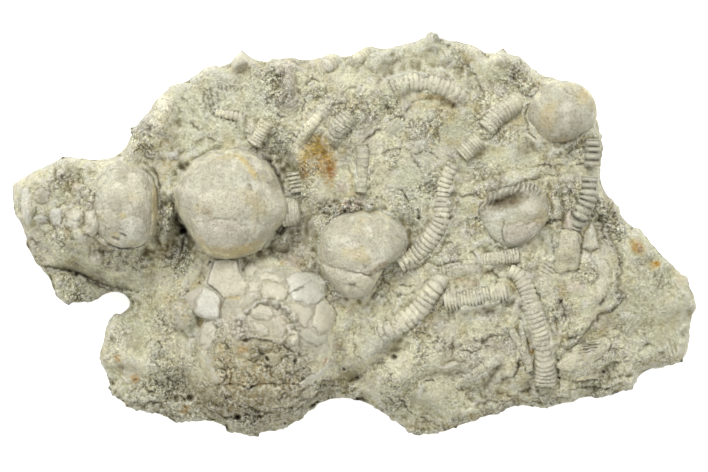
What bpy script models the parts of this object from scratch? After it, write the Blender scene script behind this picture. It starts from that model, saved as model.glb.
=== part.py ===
"""Fossil crinoid plate: a loose slab of limestone with calyxes and ribbed stems set in its upper face.

The slab lies flat on its foot at z = 0 with the fossils up, +X along its length. The origin is under its middle.
Places on the plate's face are given in millimetres on a sheet laid over it, from the sheet's upper left corner,
with x to the right and y down. Heights are millimetres above the foot.
"""

import math

import bmesh
import bpy
import numpy as np
from mathutils import Matrix, Vector, noise

MM = 0.001

# Driving dimensions, in millimetres
SHEET_MIDDLE = (88.6, 58.65)
SLAB_THICKNESS = 24.0
SCULPT_GRAIN = 1.4
MATRIX_TRIANGLES = 1900
FOOT_INSET = 7.5
BELOW_FOOT = 1.2
EDGE_TOP_SHARE = 0.62
EDGE_LOW_SHARE = 0.40
EDGE_ROUND_TOP = 2.5
EDGE_ROUND_BOTTOM = 5.5
ROUGHNESS = 0.55
ROUGHNESS_SPAN = 5.5
GAP = 0.35
LEVEL_REACH = 2.0
SETTLE = 3.0
FLAT_ANGLE = 8.0
BED_STEP = 4.0
BED_SPREAD = 1.16
BALL_BED_SPREAD = 0.036

# The slab's outline, clockwise from its left tip
UPPER_LEFT_EDGE = [
    (2.75, 47.5), (3.25, 45.5), (7.5, 43), (15.75, 39.5), (24, 40), (29.75, 39), (31.75, 36.5), (32.75, 34),
    (32.5, 32), (34, 31.5), (38.75, 25.25), (43, 21), (45.25, 20.5), (47.25, 20.5), (47, 20), (52.5, 16.5),
]
TOP_EDGE = [
    (57.5, 16.5), (59.25, 13.5), (60.5, 12.5), (66, 16.25), (68.25, 14.5), (73.75, 14.5), (75.5, 15.25),
    (84, 13.5), (86.25, 15), (91.25, 12), (93, 11.5), (96.5, 12.5), (106, 9.5), (108, 8), (109.5, 8.75),
    (110, 10.5), (112.75, 10), (119, 11.5), (122, 14.25), (125.75, 12), (127, 13.5), (130.5, 14),
]
UPPER_RIGHT_EDGE = [
    (134.5, 17.5), (137, 20.5), (143, 22.5), (146, 25), (148, 28.5), (149, 31.75), (151, 34), (150.5, 36.25),
    (150, 44), (151, 47.75), (154.5, 51.25), (156.5, 55.75), (158, 57), (160, 57), (165.5, 64), (170.25, 68.5),
    (172, 69), (172.75, 72.25), (174.5, 76.25), (173, 79), (172, 88.25), (170, 91), (161, 92.5),
]
LOWER_RIGHT_EDGE = [
    (160, 93), (158.75, 97), (154, 98), (152, 99.5), (147.5, 99), (137, 102.5), (127, 101.75), (124.25, 103.75),
    (122, 103.5), (119, 105.25), (109, 108.5), (104, 109), (102.25, 108.5), (100.75, 106.5), (96.75, 104.5),
    (95, 102.5), (90.5, 99.75), (82.5, 99.5), (78, 101.5), (75.75, 104.5), (70, 107.75), (66, 107.5),
]
LOWER_LEFT_EDGE = [
    (63, 109.25), (57.5, 108.5), (56.5, 106.5), (53.5, 105), (44.25, 106), (41, 103.5), (32, 102), (27, 98),
    (26.75, 96.5), (28, 96), (27, 95), (24.5, 89.75), (26.25, 82), (27, 80), (28, 78.5), (32.75, 77.5),
    (33, 75), (28.75, 72.5), (27.5, 72.5), (21.75, 76), (17, 76.25), (13.5, 73.5), (11.75, 68), (8.5, 65.5),
    (6.5, 61.5), (5.75, 57), (3.25, 52.5),
]
OUTLINE = UPPER_LEFT_EDGE + TOP_EDGE + UPPER_RIGHT_EDGE + LOWER_RIGHT_EDGE + LOWER_LEFT_EDGE

# How high the rock's broken face stands: x, y and height
LEVELS = [
    # Left lobe, and the lower block under its crack
    (7, 50, 17), (15, 46, 20), (24, 44, 20), (15, 60, 16), (10, 64, 12), (24, 61, 15), (17, 71, 9), (24, 73, 8.5),
    (30, 72, 9), (34, 66, 12),
    # Upper left, and the valley between the left calyx and the large one
    (36, 38, 20), (42, 33, 20), (41, 49, 14), (42, 60, 12), (46, 58, 11), (47, 24, 21), (57, 20, 22), (58, 32, 22.5),
    (48, 34, 21), (45, 41, 18),
    # Round the large calyx
    (71, 45, 17), (70, 59, 17), (66, 64, 19), (78, 62, 18), (55, 66, 18),
    # Top middle
    (72, 25, 25), (80, 26, 25), (88, 20, 24.5), (88, 30, 25.5), (97, 28, 24), (78, 40, 23), (82, 48, 22), (89, 50, 24),
    (100, 33, 23), (108, 40, 23.5), (100, 48, 23), (112, 50, 23), (105, 14, 22),
    # Upper right
    (120, 17, 20), (129, 16, 19), (118, 40, 22), (125, 38, 22), (135, 38, 20), (143, 40, 19.5), (140, 48, 20),
    # Middle and lower middle
    (113, 64, 22), (117, 57, 22.5), (100, 60, 19.5), (104, 72, 21), (118, 76, 22), (126, 78, 22), (95, 78, 20),
    (95, 90, 20), (86, 97, 15), (106, 88, 21), (120, 86, 21), (130, 88, 20), (110, 97, 16), (105, 105, 11),
    (121, 99, 14), (136, 99, 12), (140, 94, 14),
    # Right of the long upright stem, and the right lobe
    (140, 75, 21), (147, 70, 20), (142, 62, 19.5), (140, 83, 19), (160, 65, 17), (165, 75, 17), (160, 85, 16),
    (170, 82, 15), (152, 86, 15), (150, 95, 11),
    # Round the plated calyx
    (40, 88, 17), (32, 86, 14), (32, 97, 11), (45, 100, 12), (57, 105, 10), (72, 103, 11), (82, 92, 16), (50, 75, 20),
    (50, 88, 20), (66, 92, 22), (66, 80, 26), (80, 80, 22), (75, 68, 20),
]

# Breaks where the face drops: the line, with the low side on its right hand, then the drop and its reach
RIGHT_LOBE_BREAK = [
    (147, 82), (150, 78), (153, 77.5), (156.25, 74.25), (154.25, 72), (154.5, 69.5), (155.5, 65), (152.75, 60),
]
LEFT_LOBE_BREAK = [(29.5, 72.25), (26, 71.5), (22.5, 70), (18.75, 68.25), (9, 66.5)]
LOWER_LEDGE_BREAK = [(86, 96), (79, 98), (72, 97.5), (65, 98.5), (57, 96)]
BREAKS = [(RIGHT_LOBE_BREAK, 1.6, 7.0), (LEFT_LOBE_BREAK, 2.5, 6.0), (LOWER_LEDGE_BREAK, 1.8, 5.0)]

# Crevices: the line, then the half width and the depth
CREVICES = [
    ([(86.25, 96.25), (91.25, 93), (96.25, 89.5), (100, 86.25)], 1.4, 3.0),
    ([(109, 24.25), (113, 26)], 1.4, 2.0),
    ([(41, 43), (41.5, 50), (42.5, 58)], 1.8, 2.5),
    ([(66, 37), (70, 42), (70.5, 47)], 2.0, 2.5),
]

# Lumps of rock and small worn shell pieces: x, y, half length, half width, turn in degrees and height
LUMPS = [
    (15.5, 42.7, 2.2, 2.2, 0, 1.2), (7, 52.5, 5, 2.6, 80, 1.6), (14.5, 53, 3, 2.2, 0, 1.3),
    (19.5, 47, 1.9, 1.9, 0, 1.3), (23.7, 65.2, 2.2, 2.2, 0, 1.6), (20.5, 56, 6, 3.2, 80, 1.8),
    (43, 39, 3, 2, 0, 1.6), (60.3, 15.5, 3, 2.4, 0, 2.0), (72, 21.5, 7, 2.6, 90, 2.2), (68.3, 17.5, 2.4, 2.4, 0, 1.6),
    (107.8, 10.6, 2.4, 2.4, 0, 2.4), (95, 15, 4, 2.2, 10, 1.6), (125.5, 14.5, 2.2, 2, 0, 1.6),
    (113, 14.5, 4, 2.5, 0, 1.5), (88.6, 50.2, 4.2, 2.0, 0, 1.8), (93, 86.5, 5, 4.6, 0, 2.4),
    (112.5, 91.9, 3.6, 1.5, 5, 1.6), (105.5, 97.5, 3.0, 1.7, 75, 1.6), (131, 21, 3.5, 2.5, 30, 1.5),
    (38, 92, 5, 4, 20, 1.8), (33, 90, 3, 3, 0, 1.4), (150, 90, 4, 2.4, 15, 1.4), (158, 80, 5, 3.5, 60, 1.2),
    (100, 95, 4, 3, 40, 1.6), (77, 99.5, 4, 1.6, 25, 1.4),
]

# Pits: x, y, radius and depth
PITS = [
    (59.5, 104.2, 1.9, 3.0), (57, 98.9, 1.6, 2.5), (48.5, 99.6, 1.7, 2.2), (44.5, 99.8, 1.4, 2.0),
    (45.75, 57, 2.2, 2.5), (69.6, 59.3, 2.0, 2.5), (64.3, 102.5, 1.6, 2.2),
]

# Colour, roughness and metallic value of each kind of surface
ROCK = ("limestone", (0.58, 0.56, 0.42), 0.95)
CALYX = ("calyx calcite", (0.66, 0.63, 0.51), 0.75)
STEM = ("stem calcite", (0.60, 0.56, 0.43), 0.85)


def on_plate(x, y):
    """The plate's own x and y, in millimetres, of a place on the sheet."""
    return x - SHEET_MIDDLE[0], SHEET_MIDDLE[1] - y


def distances_to_line(points, line):
    """For each sheet point, its distance to an open line and the side it is on: +1 is the line's right hand."""
    best = np.full(len(points), np.inf)
    side = np.zeros(len(points))
    for start, end in zip(line[:-1], line[1:]):
        start = np.array(start, dtype=float)
        along = np.array(end, dtype=float) - start
        rel = points - start
        t = np.clip(rel @ along / (along @ along), 0.0, 1.0)
        gap = np.linalg.norm(rel - t[:, None] * along, axis=1)
        turn = along[0] * rel[:, 1] - along[1] * rel[:, 0]
        nearer = gap < best
        best[nearer] = gap[nearer]
        side[nearer] = np.sign(turn[nearer])
    return best, side


def distance_inside(points):
    """How far each sheet point lies inside the outline."""
    return distances_to_line(points, OUTLINE + OUTLINE[:1])[0]


def mixed_levels(points):
    """The smooth run of heights through LEVELS."""
    total = np.zeros(len(points))
    weights = np.zeros(len(points))
    for x, y, height in LEVELS:
        gap2 = (points[:, 0] - x) ** 2 + (points[:, 1] - y) ** 2
        weight = (gap2 + LEVEL_REACH**2) ** -2
        total += weight * height
        weights += weight
    return total / weights


def oval_radius(points, x, y, half_length, half_width, turn):
    """1 on the edge of a turned oval on the sheet, and less inside it."""
    angle = math.radians(turn)
    dx = points[:, 0] - x
    dy = -(points[:, 1] - y)
    u = (dx * math.cos(angle) + dy * math.sin(angle)) / half_length
    v = (-dx * math.sin(angle) + dy * math.cos(angle)) / half_width
    return np.hypot(u, v)


def roughness(points):
    """Small uneven relief of the broken rock."""
    spots = points / ROUGHNESS_SPAN
    return ROUGHNESS * np.array([noise.noise((u, v, 0.5)) * 2.0 for u, v in spots])


def ground(points):
    """The height of the rock's face at each sheet point, before its edge is rounded off."""
    height = mixed_levels(points) + roughness(points)
    for line, drop, reach in BREAKS:
        gap, side = distances_to_line(points, line)
        height -= np.where(side > 0, drop * np.clip(1.0 - gap / reach, 0.0, 1.0), 0.0)
    for line, half_width, depth in CREVICES:
        gap = distances_to_line(points, line)[0]
        height -= depth * np.clip(1.0 - gap / half_width, 0.0, 1.0)
    for x, y, half_length, half_width, turn, rise in LUMPS:
        r = oval_radius(points, x, y, half_length, half_width, turn)
        height += rise * np.sqrt(np.clip(1.0 - r**2, 0.0, 1.0))
    for x, y, radius, depth in PITS:
        r = oval_radius(points, x, y, radius, radius, 0)
        height -= depth * np.clip(1.0 - r**2, 0.0, 1.0)
    return height


def slab_faces(points):
    """The heights of the slab's upper face and of its underside at each sheet point."""
    inside = distance_inside(points)
    height = ground(points)
    share = np.clip((points[:, 1] - 10.0) / 100.0, 0.0, 1.0)
    round_width = EDGE_ROUND_TOP + (EDGE_ROUND_BOTTOM - EDGE_ROUND_TOP) * share
    bend = np.sqrt(1.0 - (1.0 - np.clip(inside / round_width, 0.0, 1.0)) ** 2)
    edge_top = EDGE_TOP_SHARE * height
    edge_low = EDGE_LOW_SHARE * height
    upper = edge_top + (height - edge_top) * bend
    tuck = np.clip(inside / FOOT_INSET, 0.0, 1.0)
    lower = edge_low * (1.0 - tuck) ** 0.8 - BELOW_FOOT * tuck
    return upper, lower


def clear_scene():
    for obj in list(bpy.data.objects):
        bpy.data.objects.remove(obj, do_unlink=True)


def new_collection(name):
    collection = bpy.data.collections.new(name)
    bpy.context.scene.collection.children.link(collection)
    return collection


def material(kind):
    """The Principled material of one kind of surface, made once."""
    name, colour, rough = kind
    found = bpy.data.materials.get(name)
    if found:
        return found
    made = bpy.data.materials.new(name)
    made.use_nodes = True
    shader = made.node_tree.nodes["Principled BSDF"]
    shader.inputs["Base Color"].default_value = (*colour, 1.0)
    shader.inputs["Roughness"].default_value = rough
    shader.inputs["Metallic"].default_value = 0.0
    return made


def add_object(name, mesh, kind, collection):
    obj = bpy.data.objects.new(name, mesh)
    collection.objects.link(obj)
    if kind:
        mesh.materials.clear()
        mesh.materials.append(material(kind))
    return obj


def evaluated_mesh(obj):
    """A plain mesh of what an object's curve or modifiers give, in the object's own frame."""
    graph = bpy.context.evaluated_depsgraph_get()
    return bpy.data.meshes.new_from_object(obj.evaluated_get(graph))


def weld_caps(mesh):
    """Joins a tube's or an outline's end caps to its sides."""
    shape = bmesh.new()
    shape.from_mesh(mesh)
    bmesh.ops.remove_doubles(shape, verts=shape.verts, dist=1e-6)
    bmesh.ops.recalc_face_normals(shape, faces=shape.faces)
    shape.to_mesh(mesh)
    shape.free()


def replace_by_mesh(obj, kind, collection):
    """Swaps an object for a mesh of its evaluated shape, at the same place and with the same name."""
    name = obj.name
    mesh = evaluated_mesh(obj)
    if obj.type == "CURVE":
        weld_caps(mesh)
    place = obj.matrix_world.copy()
    bpy.data.objects.remove(obj, do_unlink=True)
    made = add_object(name, mesh, kind, collection)
    made.matrix_world = place
    return made


def as_cutter(obj):
    obj.hide_render = True
    obj.display_type = "WIRE"
    return obj


def cut(body, cutter):
    step = body.modifiers.new("cut by " + cutter.name, "BOOLEAN")
    step.operation = "DIFFERENCE"
    step.solver = "EXACT"
    step.object = cutter


# Rock

def slab_blank(collection):
    """The outline as a flat filled curve, drawn out to the slab's thickness."""
    curve = bpy.data.curves.new("matrix", "CURVE")
    curve.dimensions = "2D"
    curve.fill_mode = "BOTH"
    curve.extrude = SLAB_THICKNESS * MM / 2
    line = curve.splines.new("POLY")
    line.points.add(len(OUTLINE) - 1)
    for point, (x, y) in zip(line.points, OUTLINE):
        u, v = on_plate(x, y)
        point.co = (u * MM, v * MM, 0.0, 1.0)
    line.use_cyclic_u = True
    obj = bpy.data.objects.new("matrix", curve)
    collection.objects.link(obj)
    return replace_by_mesh(obj, ROCK, collection)


def sculpt(mesh):
    """Moves an evenly meshed slab's points to the rock's upper face, sides and underside."""
    co = np.empty(len(mesh.vertices) * 3)
    mesh.vertices.foreach_get("co", co)
    co = co.reshape(-1, 3) / MM
    low, high = co[:, 2].min(), co[:, 2].max()
    share = (co[:, 2] - low) / (high - low)
    points = np.column_stack([co[:, 0] + SHEET_MIDDLE[0], SHEET_MIDDLE[1] - co[:, 1]])
    upper, lower = slab_faces(points)
    co[:, 2] = lower + (upper - lower) * share
    mesh.vertices.foreach_set("co", (co * MM).ravel())
    mesh.update()


def make_matrix(collection, cutters):
    rock = slab_blank(collection)
    grain = rock.modifiers.new("even mesh", "REMESH")
    grain.mode = "VOXEL"
    grain.voxel_size = SCULPT_GRAIN * MM
    rock = replace_by_mesh(rock, ROCK, collection)
    sculpt(rock.data)
    triangles = sum(len(face.vertices) - 2 for face in rock.data.polygons)
    thin = rock.modifiers.new("fewer faces", "DECIMATE")
    thin.ratio = MATRIX_TRIANGLES / triangles
    rock = replace_by_mesh(rock, ROCK, collection)
    foot = block_below_foot(cutters)
    cut(rock, foot)
    return rock


def block_below_foot(cutters):
    """A block whose top is the plane z = 0, which cuts the foot flat."""
    shape = bmesh.new()
    bmesh.ops.create_cube(shape, size=1.0)
    place = Matrix.Translation((0, 0, -10 * MM)) @ Matrix.Diagonal((0.3, 0.3, 20 * MM, 1.0))
    bmesh.ops.transform(shape, matrix=place, verts=shape.verts)
    mesh = bpy.data.meshes.new("below foot")
    shape.to_mesh(mesh)
    shape.free()
    return as_cutter(add_object("below foot", mesh, None, cutters))


def keep_largest_body(mesh):
    """Drops loose slivers that the pockets leave between them."""
    shape = bmesh.new()
    shape.from_mesh(mesh)
    left = set(shape.verts)
    bodies = []
    while left:
        body = set()
        edge_of_body = [left.pop()]
        while edge_of_body:
            vert = edge_of_body.pop()
            body.add(vert)
            for edge in vert.link_edges:
                other = edge.other_vert(vert)
                if other in left:
                    left.remove(other)
                    edge_of_body.append(other)
        bodies.append(body)
    bodies.sort(key=len)
    for body in bodies[:-1]:
        bmesh.ops.delete(shape, geom=list(body), context="VERTS")
    shape.to_mesh(mesh)
    shape.free()


# Stems

def smooth_path(points):
    """A close run of points along a smooth curve through the given sheet points, and how far along each one is."""
    knots = [np.array(p, dtype=float) for p in points]
    knots = [2 * knots[0] - knots[1], *knots, 2 * knots[-1] - knots[-2]]
    fine = []
    for a, b, c, d in zip(knots, knots[1:], knots[2:], knots[3:]):
        for t in np.linspace(0.0, 1.0, 24, endpoint=False):
            fine.append(0.5 * (2 * b + (c - a) * t + (2 * a - 5 * b + 4 * c - d) * t**2
                               + (3 * b - a - 3 * c + d) * t**3))
    fine.append(knots[-2])
    fine = np.array(fine)
    run = np.concatenate([[0.0], np.cumsum(np.linalg.norm(np.diff(fine[:, :2], axis=0), axis=1))])
    return fine, run


def tube(name, path, radii, fineness, kind, collection):
    """A closed round bar along a path, in millimetres on the plate, with its own radius at each point."""
    curve = bpy.data.curves.new(name, "CURVE")
    curve.dimensions = "3D"
    curve.bevel_depth = MM
    curve.bevel_resolution = fineness
    curve.use_fill_caps = True
    line = curve.splines.new("POLY")
    line.points.add(len(path) - 1)
    for point, place, radius in zip(line.points, path, radii):
        point.co = (*(place * MM), 1.0)
        point.radius = radius
    obj = bpy.data.objects.new(name, curve)
    collection.objects.link(obj)
    return replace_by_mesh(obj, kind, collection)


def stem_path(points, step, rise):
    """Points about step apart on a stem's middle line on the plate, and its width at each, in millimetres."""
    fine, run = smooth_path(points)
    heights = ground(fine[:, :2])
    near = np.exp(-((run[:, None] - run[None, :]) / SETTLE) ** 2)
    heights = near @ heights / near.sum(axis=1) + rise
    marks = np.linspace(0.0, run[-1], max(2, round(run[-1] / step)) + 1)
    x, y, width = (np.interp(marks, run, fine[:, k]) for k in range(3))
    height = np.interp(marks, run, heights)
    return np.column_stack([x - SHEET_MIDDLE[0], SHEET_MIDDLE[1] - y, height]), width


def make_stem(stem, collection, cutters):
    """A ribbed stem half sunk in the rock, and the plain bar that cuts its bed."""
    name, points, spacing, depth, rise, fineness = stem
    path, widths = stem_path(points, spacing / 2, rise)
    radii = widths / 2
    radii[1::2] *= 1.0 - depth
    radii[0] *= 0.8
    radii[-1] *= 0.8
    tube(name, path, radii, fineness, STEM, collection)
    bed_path, bed_widths = stem_path(points, BED_STEP, rise)
    along = bed_path[1] - bed_path[0]
    bed_path[0] -= GAP * along / np.linalg.norm(along)
    along = bed_path[-1] - bed_path[-2]
    bed_path[-1] += GAP * along / np.linalg.norm(along)
    return as_cutter(tube("bed of " + name, bed_path, bed_widths / 2 * BED_SPREAD + GAP, 1, None, cutters))


# Each stem's name, its middle line with its width at each point, then the rib spacing, how deep the grooves are as
# a share of the radius, how far the middle line is above the rock, and how round the bar is
STEMS = [
    ("large_calyx_stem", [(71.6, 53.3, 7.4), (75.6, 53.6, 6.2)], 1.3, 0.12, 4.5, 2),
    ("middle_calyx_stem",
     [(99.8, 66.1, 4.75), (103.75, 63.75, 4.75), (106.5, 61, 4.75), (108.75, 58, 4.6), (110.25, 55.25, 4.4),
      (110.5, 51, 3.8), (110.9, 47.25, 3.4), (112, 43.75, 3.4), (113.3, 41, 3.4)], 1.7, 0.14, 0.9, 1),
    ("diagonal_stem_lower", [(115.3, 38.9, 4.2), (119.8, 34.8, 4.3)], 1.2, 0.14, 0.9, 1),
    ("diagonal_stem_upper", [(121.4, 32.2, 4.7), (124.25, 29, 4.8), (128.75, 25.75, 4.8), (131.1, 23.8, 4.4)],
     1.4, 0.14, 0.9, 1),
    ("arched_top_stem",
     [(97.2, 22.1, 4), (100, 21, 4.4), (103.75, 20.5, 4.5), (107.5, 20.75, 4.5), (111.25, 22, 4.5),
      (114.5, 23.75, 4.3), (117, 25.75, 4)], 1.7, 0.14, 0.8, 1),
    ("lower_arc_stem",
     [(94, 83.4, 4.2), (98.75, 81.75, 4.6), (102, 79.5, 5), (105, 77, 5), (107.25, 73.75, 4.9), (109.25, 71.25, 4.7),
      (111, 68.6, 4.3)], 1.8, 0.15, 1.0, 1),
    ("short_level_stem", [(120, 65.25, 3.6), (129.6, 63.75, 3.8)], 1.2, 0.12, 1.0, 1),
    ("long_level_stem", [(111.2, 75, 4.8), (118.75, 74.25, 5), (126.4, 72.7, 4.6)], 1.6, 0.13, 0.9, 1),
    ("long_upright_stem",
     [(127.2, 67.6, 3.4), (129.2, 68.6, 3.8), (130.6, 70.4, 4.2), (131.7, 72.8, 4.6), (132.3, 75.5, 4.7),
      (133.25, 78.25, 4.7), (134.25, 81.25, 4.5), (135.25, 84, 4.3), (135.75, 87, 4.4), (136, 89.75, 4.9),
      (136.25, 92.75, 5.6), (136.25, 96.3, 5.6)], 1.7, 0.14, 1.3, 1),
    ("right_edge_stem_upper", [(148.3, 36, 3.6), (148, 41, 4.1)], 1.6, 0.18, 0.4, 1),
    ("right_edge_stem_lower", [(147.2, 44.6, 4.2), (146.7, 50, 4.3), (145, 53.4, 4.2), (144.3, 56.2, 4)],
     1.6, 0.18, 0.5, 1),
    ("stem_beside_large_calyx", [(73.3, 43, 4), (74.2, 48.2, 4.1)], 1.1, 0.16, 0.8, 1),
    ("stem_above_large_calyx", [(63.4, 36, 3.8), (66.75, 30.5, 3.6)], 1.1, 0.14, 0.7, 1),
    ("wide_stem", [(82.75, 35.5, 4.7), (85, 31.75, 4.8), (87.25, 28.75, 4.6)], 1.1, 0.14, 0.7, 1),
    ("faint_diagonal_stem", [(74, 36.6, 2.8), (79, 29.5, 3), (83.6, 22.7, 3)], 2.4, 0.12, 0.1, 1),
    ("top_edge_stem_left", [(79.5, 18, 3.7), (84.6, 14.9, 3.6)], 1.1, 0.14, 0.2, 1),
    ("top_edge_stem_right", [(87.2, 16.3, 3), (92.6, 12.8, 3)], 1.2, 0.12, 0.2, 1),
    ("middle_upright_stem", [(90.75, 37, 3.2), (90.5, 43.75, 3.3), (90.2, 48.2, 3.1)], 1.7, 0.1, 0.4, 1),
    ("small_ribbed_stem", [(54, 28, 2.3), (62, 29.7, 2.1)], 1.6, 0.12, 0.4, 1),
    ("worn_stem_upper_left", [(42.4, 24.6, 4.6), (40, 29.5, 5), (38, 33.75, 4.6)], 2.4, 0.1, 0.6, 1),
    ("worn_stem_lower_centre", [(115, 95.6, 2.6), (120, 92.5, 3.1), (125, 88.75, 3)], 2.6, 0.1, 0.5, 1),
    ("worn_stem_lower_right", [(141.75, 94.25, 2.6), (150.5, 93.4, 2.4)], 2.6, 0.1, 0.5, 1),
]


# Calyxes

def shaped_ball(name, place, half, turn, form, kind, collection, swell):
    """A ball of given half sizes in millimetres, each of its points moved by its form, turned and set on the plate."""
    columns, rows, shape = form
    ball = bmesh.new()
    bmesh.ops.create_uvsphere(ball, u_segments=columns, v_segments=rows, radius=1.0)
    for vert in ball.verts:
        x, y, z = shape(vert.co.copy())
        vert.co = (x * half[0], y * half[1], z * half[2])
    bmesh.ops.triangulate(ball, faces=ball.faces)
    ball.normal_update()
    for vert in ball.verts:
        vert.co += swell * vert.normal
    x, y = on_plate(place[0], place[1])
    spot = Matrix.Translation((x * MM, y * MM, place[2] * MM))
    size = Matrix.Diagonal((MM, MM, MM, 1.0))
    bmesh.ops.transform(ball, matrix=spot @ Matrix.Rotation(math.radians(turn), 4, "Z") @ size, verts=ball.verts)
    mesh = bpy.data.meshes.new(name)
    ball.to_mesh(mesh)
    ball.free()
    mesh.shade_smooth()
    mesh.set_sharp_from_angle(angle=math.radians(40))
    return add_object(name, mesh, kind, collection)


def globe(d):
    """A nearly round calyx with a slight point on its left side."""
    point = 0.05 * max(0.0, -d.x) ** 6
    return d * (1.0 + point)


def sliced_globe(d):
    """A round calyx whose right side is broken off flat."""
    return Vector((min(d.x, 0.78), d.y, d.z))


def broken_cup(d):
    """A round calyx whose lower right side is broken off along a slant."""
    past = max(0.0, 0.75 * d.x - 0.62 * d.y - 0.54)
    return Vector((d.x - 0.75 * past, d.y + 0.62 * past, d.z))


def plain(d):
    return d


def bulged(d):
    """Large enough to hold the uneven sides of the plated calyx."""
    return d * 1.03


def crushed_bowl(d):
    """A low bowl, open upwards, with a raised lower rim and a comb of ridges along its upper edge."""
    r = math.hypot(d.x, d.y)
    hollow = 0.55 * max(0.0, 1.0 - (r / 0.8) ** 2) if d.z > 0 else 0.0
    comb = 0.10 * math.cos(16 * math.atan2(d.x, d.y)) if d.z > 0 and d.y > 0.35 else 0.0
    return Vector((d.x, d.y, d.z * (1.0 - hollow) + comb))


# The plates that show on the large broken calyx: x and y of each one's middle, from the calyx's own middle
PLATES = [
    (-10, 13), (0.5, 12), (9, 11), (-14.5, 6), (7.5, 5), (14, 3), (-13, -3), (12, -6), (-9, -11), (3, -14), (0, 3.5),
    (-5, 5), (-6, -3), (5, -5),
]
PLATED_HALF = (17.5, 19.5, 13.0)
BROKEN_BOWL = (0.0, 2.0, 5.6, 3.6)


def plated(d):
    """A large low calyx with domed plates, seams between them, and a bowl where its top is broken."""
    spot = np.array([d.x * PLATED_HALF[0], d.y * PLATED_HALF[1]])
    gaps = np.sort(np.linalg.norm(np.array(PLATES) - spot, axis=1))
    seam = math.exp(-((gaps[1] - gaps[0]) / 1.4) ** 2)
    x, y, radius, depth = BROKEN_BOWL
    r = math.hypot(spot[0] - x, spot[1] - y) / radius
    bowl = depth * max(0.0, 1.0 - r * r) / PLATED_HALF[2]
    lift = -0.09 * seam - bowl if d.z > 0.1 else 0.0
    rough = 0.05 * noise.noise(d * 4.0)
    return Vector((d.x * (1 + rough), d.y * (1 + rough), d.z * (1 + rough) + lift))


def pebble(d):
    """A small rounded block."""
    return Vector([math.copysign(abs(c) ** 0.8, c) for c in d])


def flared(d):
    """A stem base that widens downwards, with long folds."""
    wide = 1.0 - 0.3 * d.y
    folds = 1.0 + 0.05 * math.cos(14 * math.atan2(d.z, d.x))
    return Vector((d.x * wide * folds, d.y, d.z * folds))


def rib_plate(d):
    """An oval plate with ribs across it."""
    rib = 0.12 * math.cos(d.x * 14.0) if d.z > 0 else 0.0
    return Vector((d.x, d.y, d.z + rib))


# Each calyx or plate: its name, its middle on the sheet and that middle's height, its half sizes, its turn, its
# columns, rows and shape, the same of its bed, and its kind
BALLS = [
    ("large_calyx", (57, 51, 22.5), (13.8, 13.9, 13.3), 0, (18, 11, globe), (12, 8, globe), CALYX),
    ("left_calyx", (31, 51.2, 18.5), (9, 11, 9.5), 0, (18, 10, sliced_globe), (18, 8, sliced_globe), CALYX),
    ("middle_calyx", (90.25, 63.3, 21.5), (11.2, 11.1, 9.0), 0, (18, 10, broken_cup), (18, 8, broken_cup), CALYX),
    ("upper_right_calyx", (140.5, 28, 18.8), (8.75, 8.2, 8.2), 0, (15, 9, plain), (10, 7, plain), CALYX),
    ("crushed_cup", (128.4, 54.2, 21.6), (7.9, 7.6, 3.4), 12, (20, 8, crushed_bowl), (12, 6, plain), CALYX),
    ("plated_calyx", (66.8, 83.5, 20.5), PLATED_HALF, 0, (22, 13, plated), (14, 8, bulged), CALYX),
    ("flared_stem_base", (141.4, 62.8, 19.8), (3.1, 5.0, 3.0), 0, (12, 6, flared), (10, 6, flared), STEM),
    ("ribbed_plate", (146, 87.6, 16.5), (6.2, 3.9, 2.6), 12, (14, 6, rib_plate), (10, 6, plain), STEM),
    ("pale_tooth_ossicle", (47.8, 76.0, 23.0), (2.9, 3.9, 3.2), -15, (9, 6, pebble), (9, 6, pebble), CALYX),
]


def make_ball(ball, collection, cutters):
    """A calyx or plate, and the slightly larger one that cuts its bed."""
    name, place, half, turn, form, bed_form, kind = ball
    shaped_ball(name, place, half, turn, form, kind, collection, 0.0)
    swell = GAP + BALL_BED_SPREAD * max(half)
    return as_cutter(shaped_ball("bed of " + name, place, half, turn, bed_form, None, cutters, swell))


# The two bars of the forked piece, with their width at each point
FORK_LONG_BAR = [(127.0, 80.2, 1.7), (128.4, 83.5, 2.0), (130.4, 87.0, 2.1), (131.8, 90.0, 2.2), (132.4, 92.8, 1.6)]
FORK_SHORT_BAR = [(130.2, 79.8, 1.5), (130.6, 83.5, 1.8), (131.2, 88.0, 1.7)]


def make_fork(name, collection, cutters):
    """Two bars joined in one forked body, and the plain bars that cut its bed."""
    bars = []
    beds = []
    for index, points in enumerate((FORK_LONG_BAR, FORK_SHORT_BAR)):
        path, widths = stem_path(points, 2.6, 0.5)
        bars.append(tube(f"{name} bar {index}", path, widths / 2, 1, STEM, collection))
        beds.append(as_cutter(tube(f"bed of {name} {index}", path, widths / 2 * BED_SPREAD + GAP, 1, None, cutters)))
    whole, side_bar = bars
    step = whole.modifiers.new("join", "BOOLEAN")
    step.operation = "UNION"
    step.solver = "EXACT"
    step.object = side_bar
    whole.name = name
    replace_by_mesh(whole, STEM, collection)
    bpy.data.objects.remove(side_bar, do_unlink=True)
    return beds


def main():
    clear_scene()
    parts = new_collection("fossil crinoid plate")
    cutters = new_collection("cutters")
    rock = make_matrix(parts, cutters)
    beds = [make_stem(stem, parts, cutters) for stem in STEMS]
    beds += [make_ball(ball, parts, cutters) for ball in BALLS]
    beds += make_fork("branched_ossicle", parts, cutters)
    for bed in beds:
        cut(rock, bed)
    flat = rock.modifiers.new("join flat faces", "DECIMATE")
    flat.decimate_type = "DISSOLVE"
    flat.angle_limit = math.radians(FLAT_ANGLE)
    rock = replace_by_mesh(rock, ROCK, parts)
    keep_largest_body(rock.data)


main()
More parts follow.
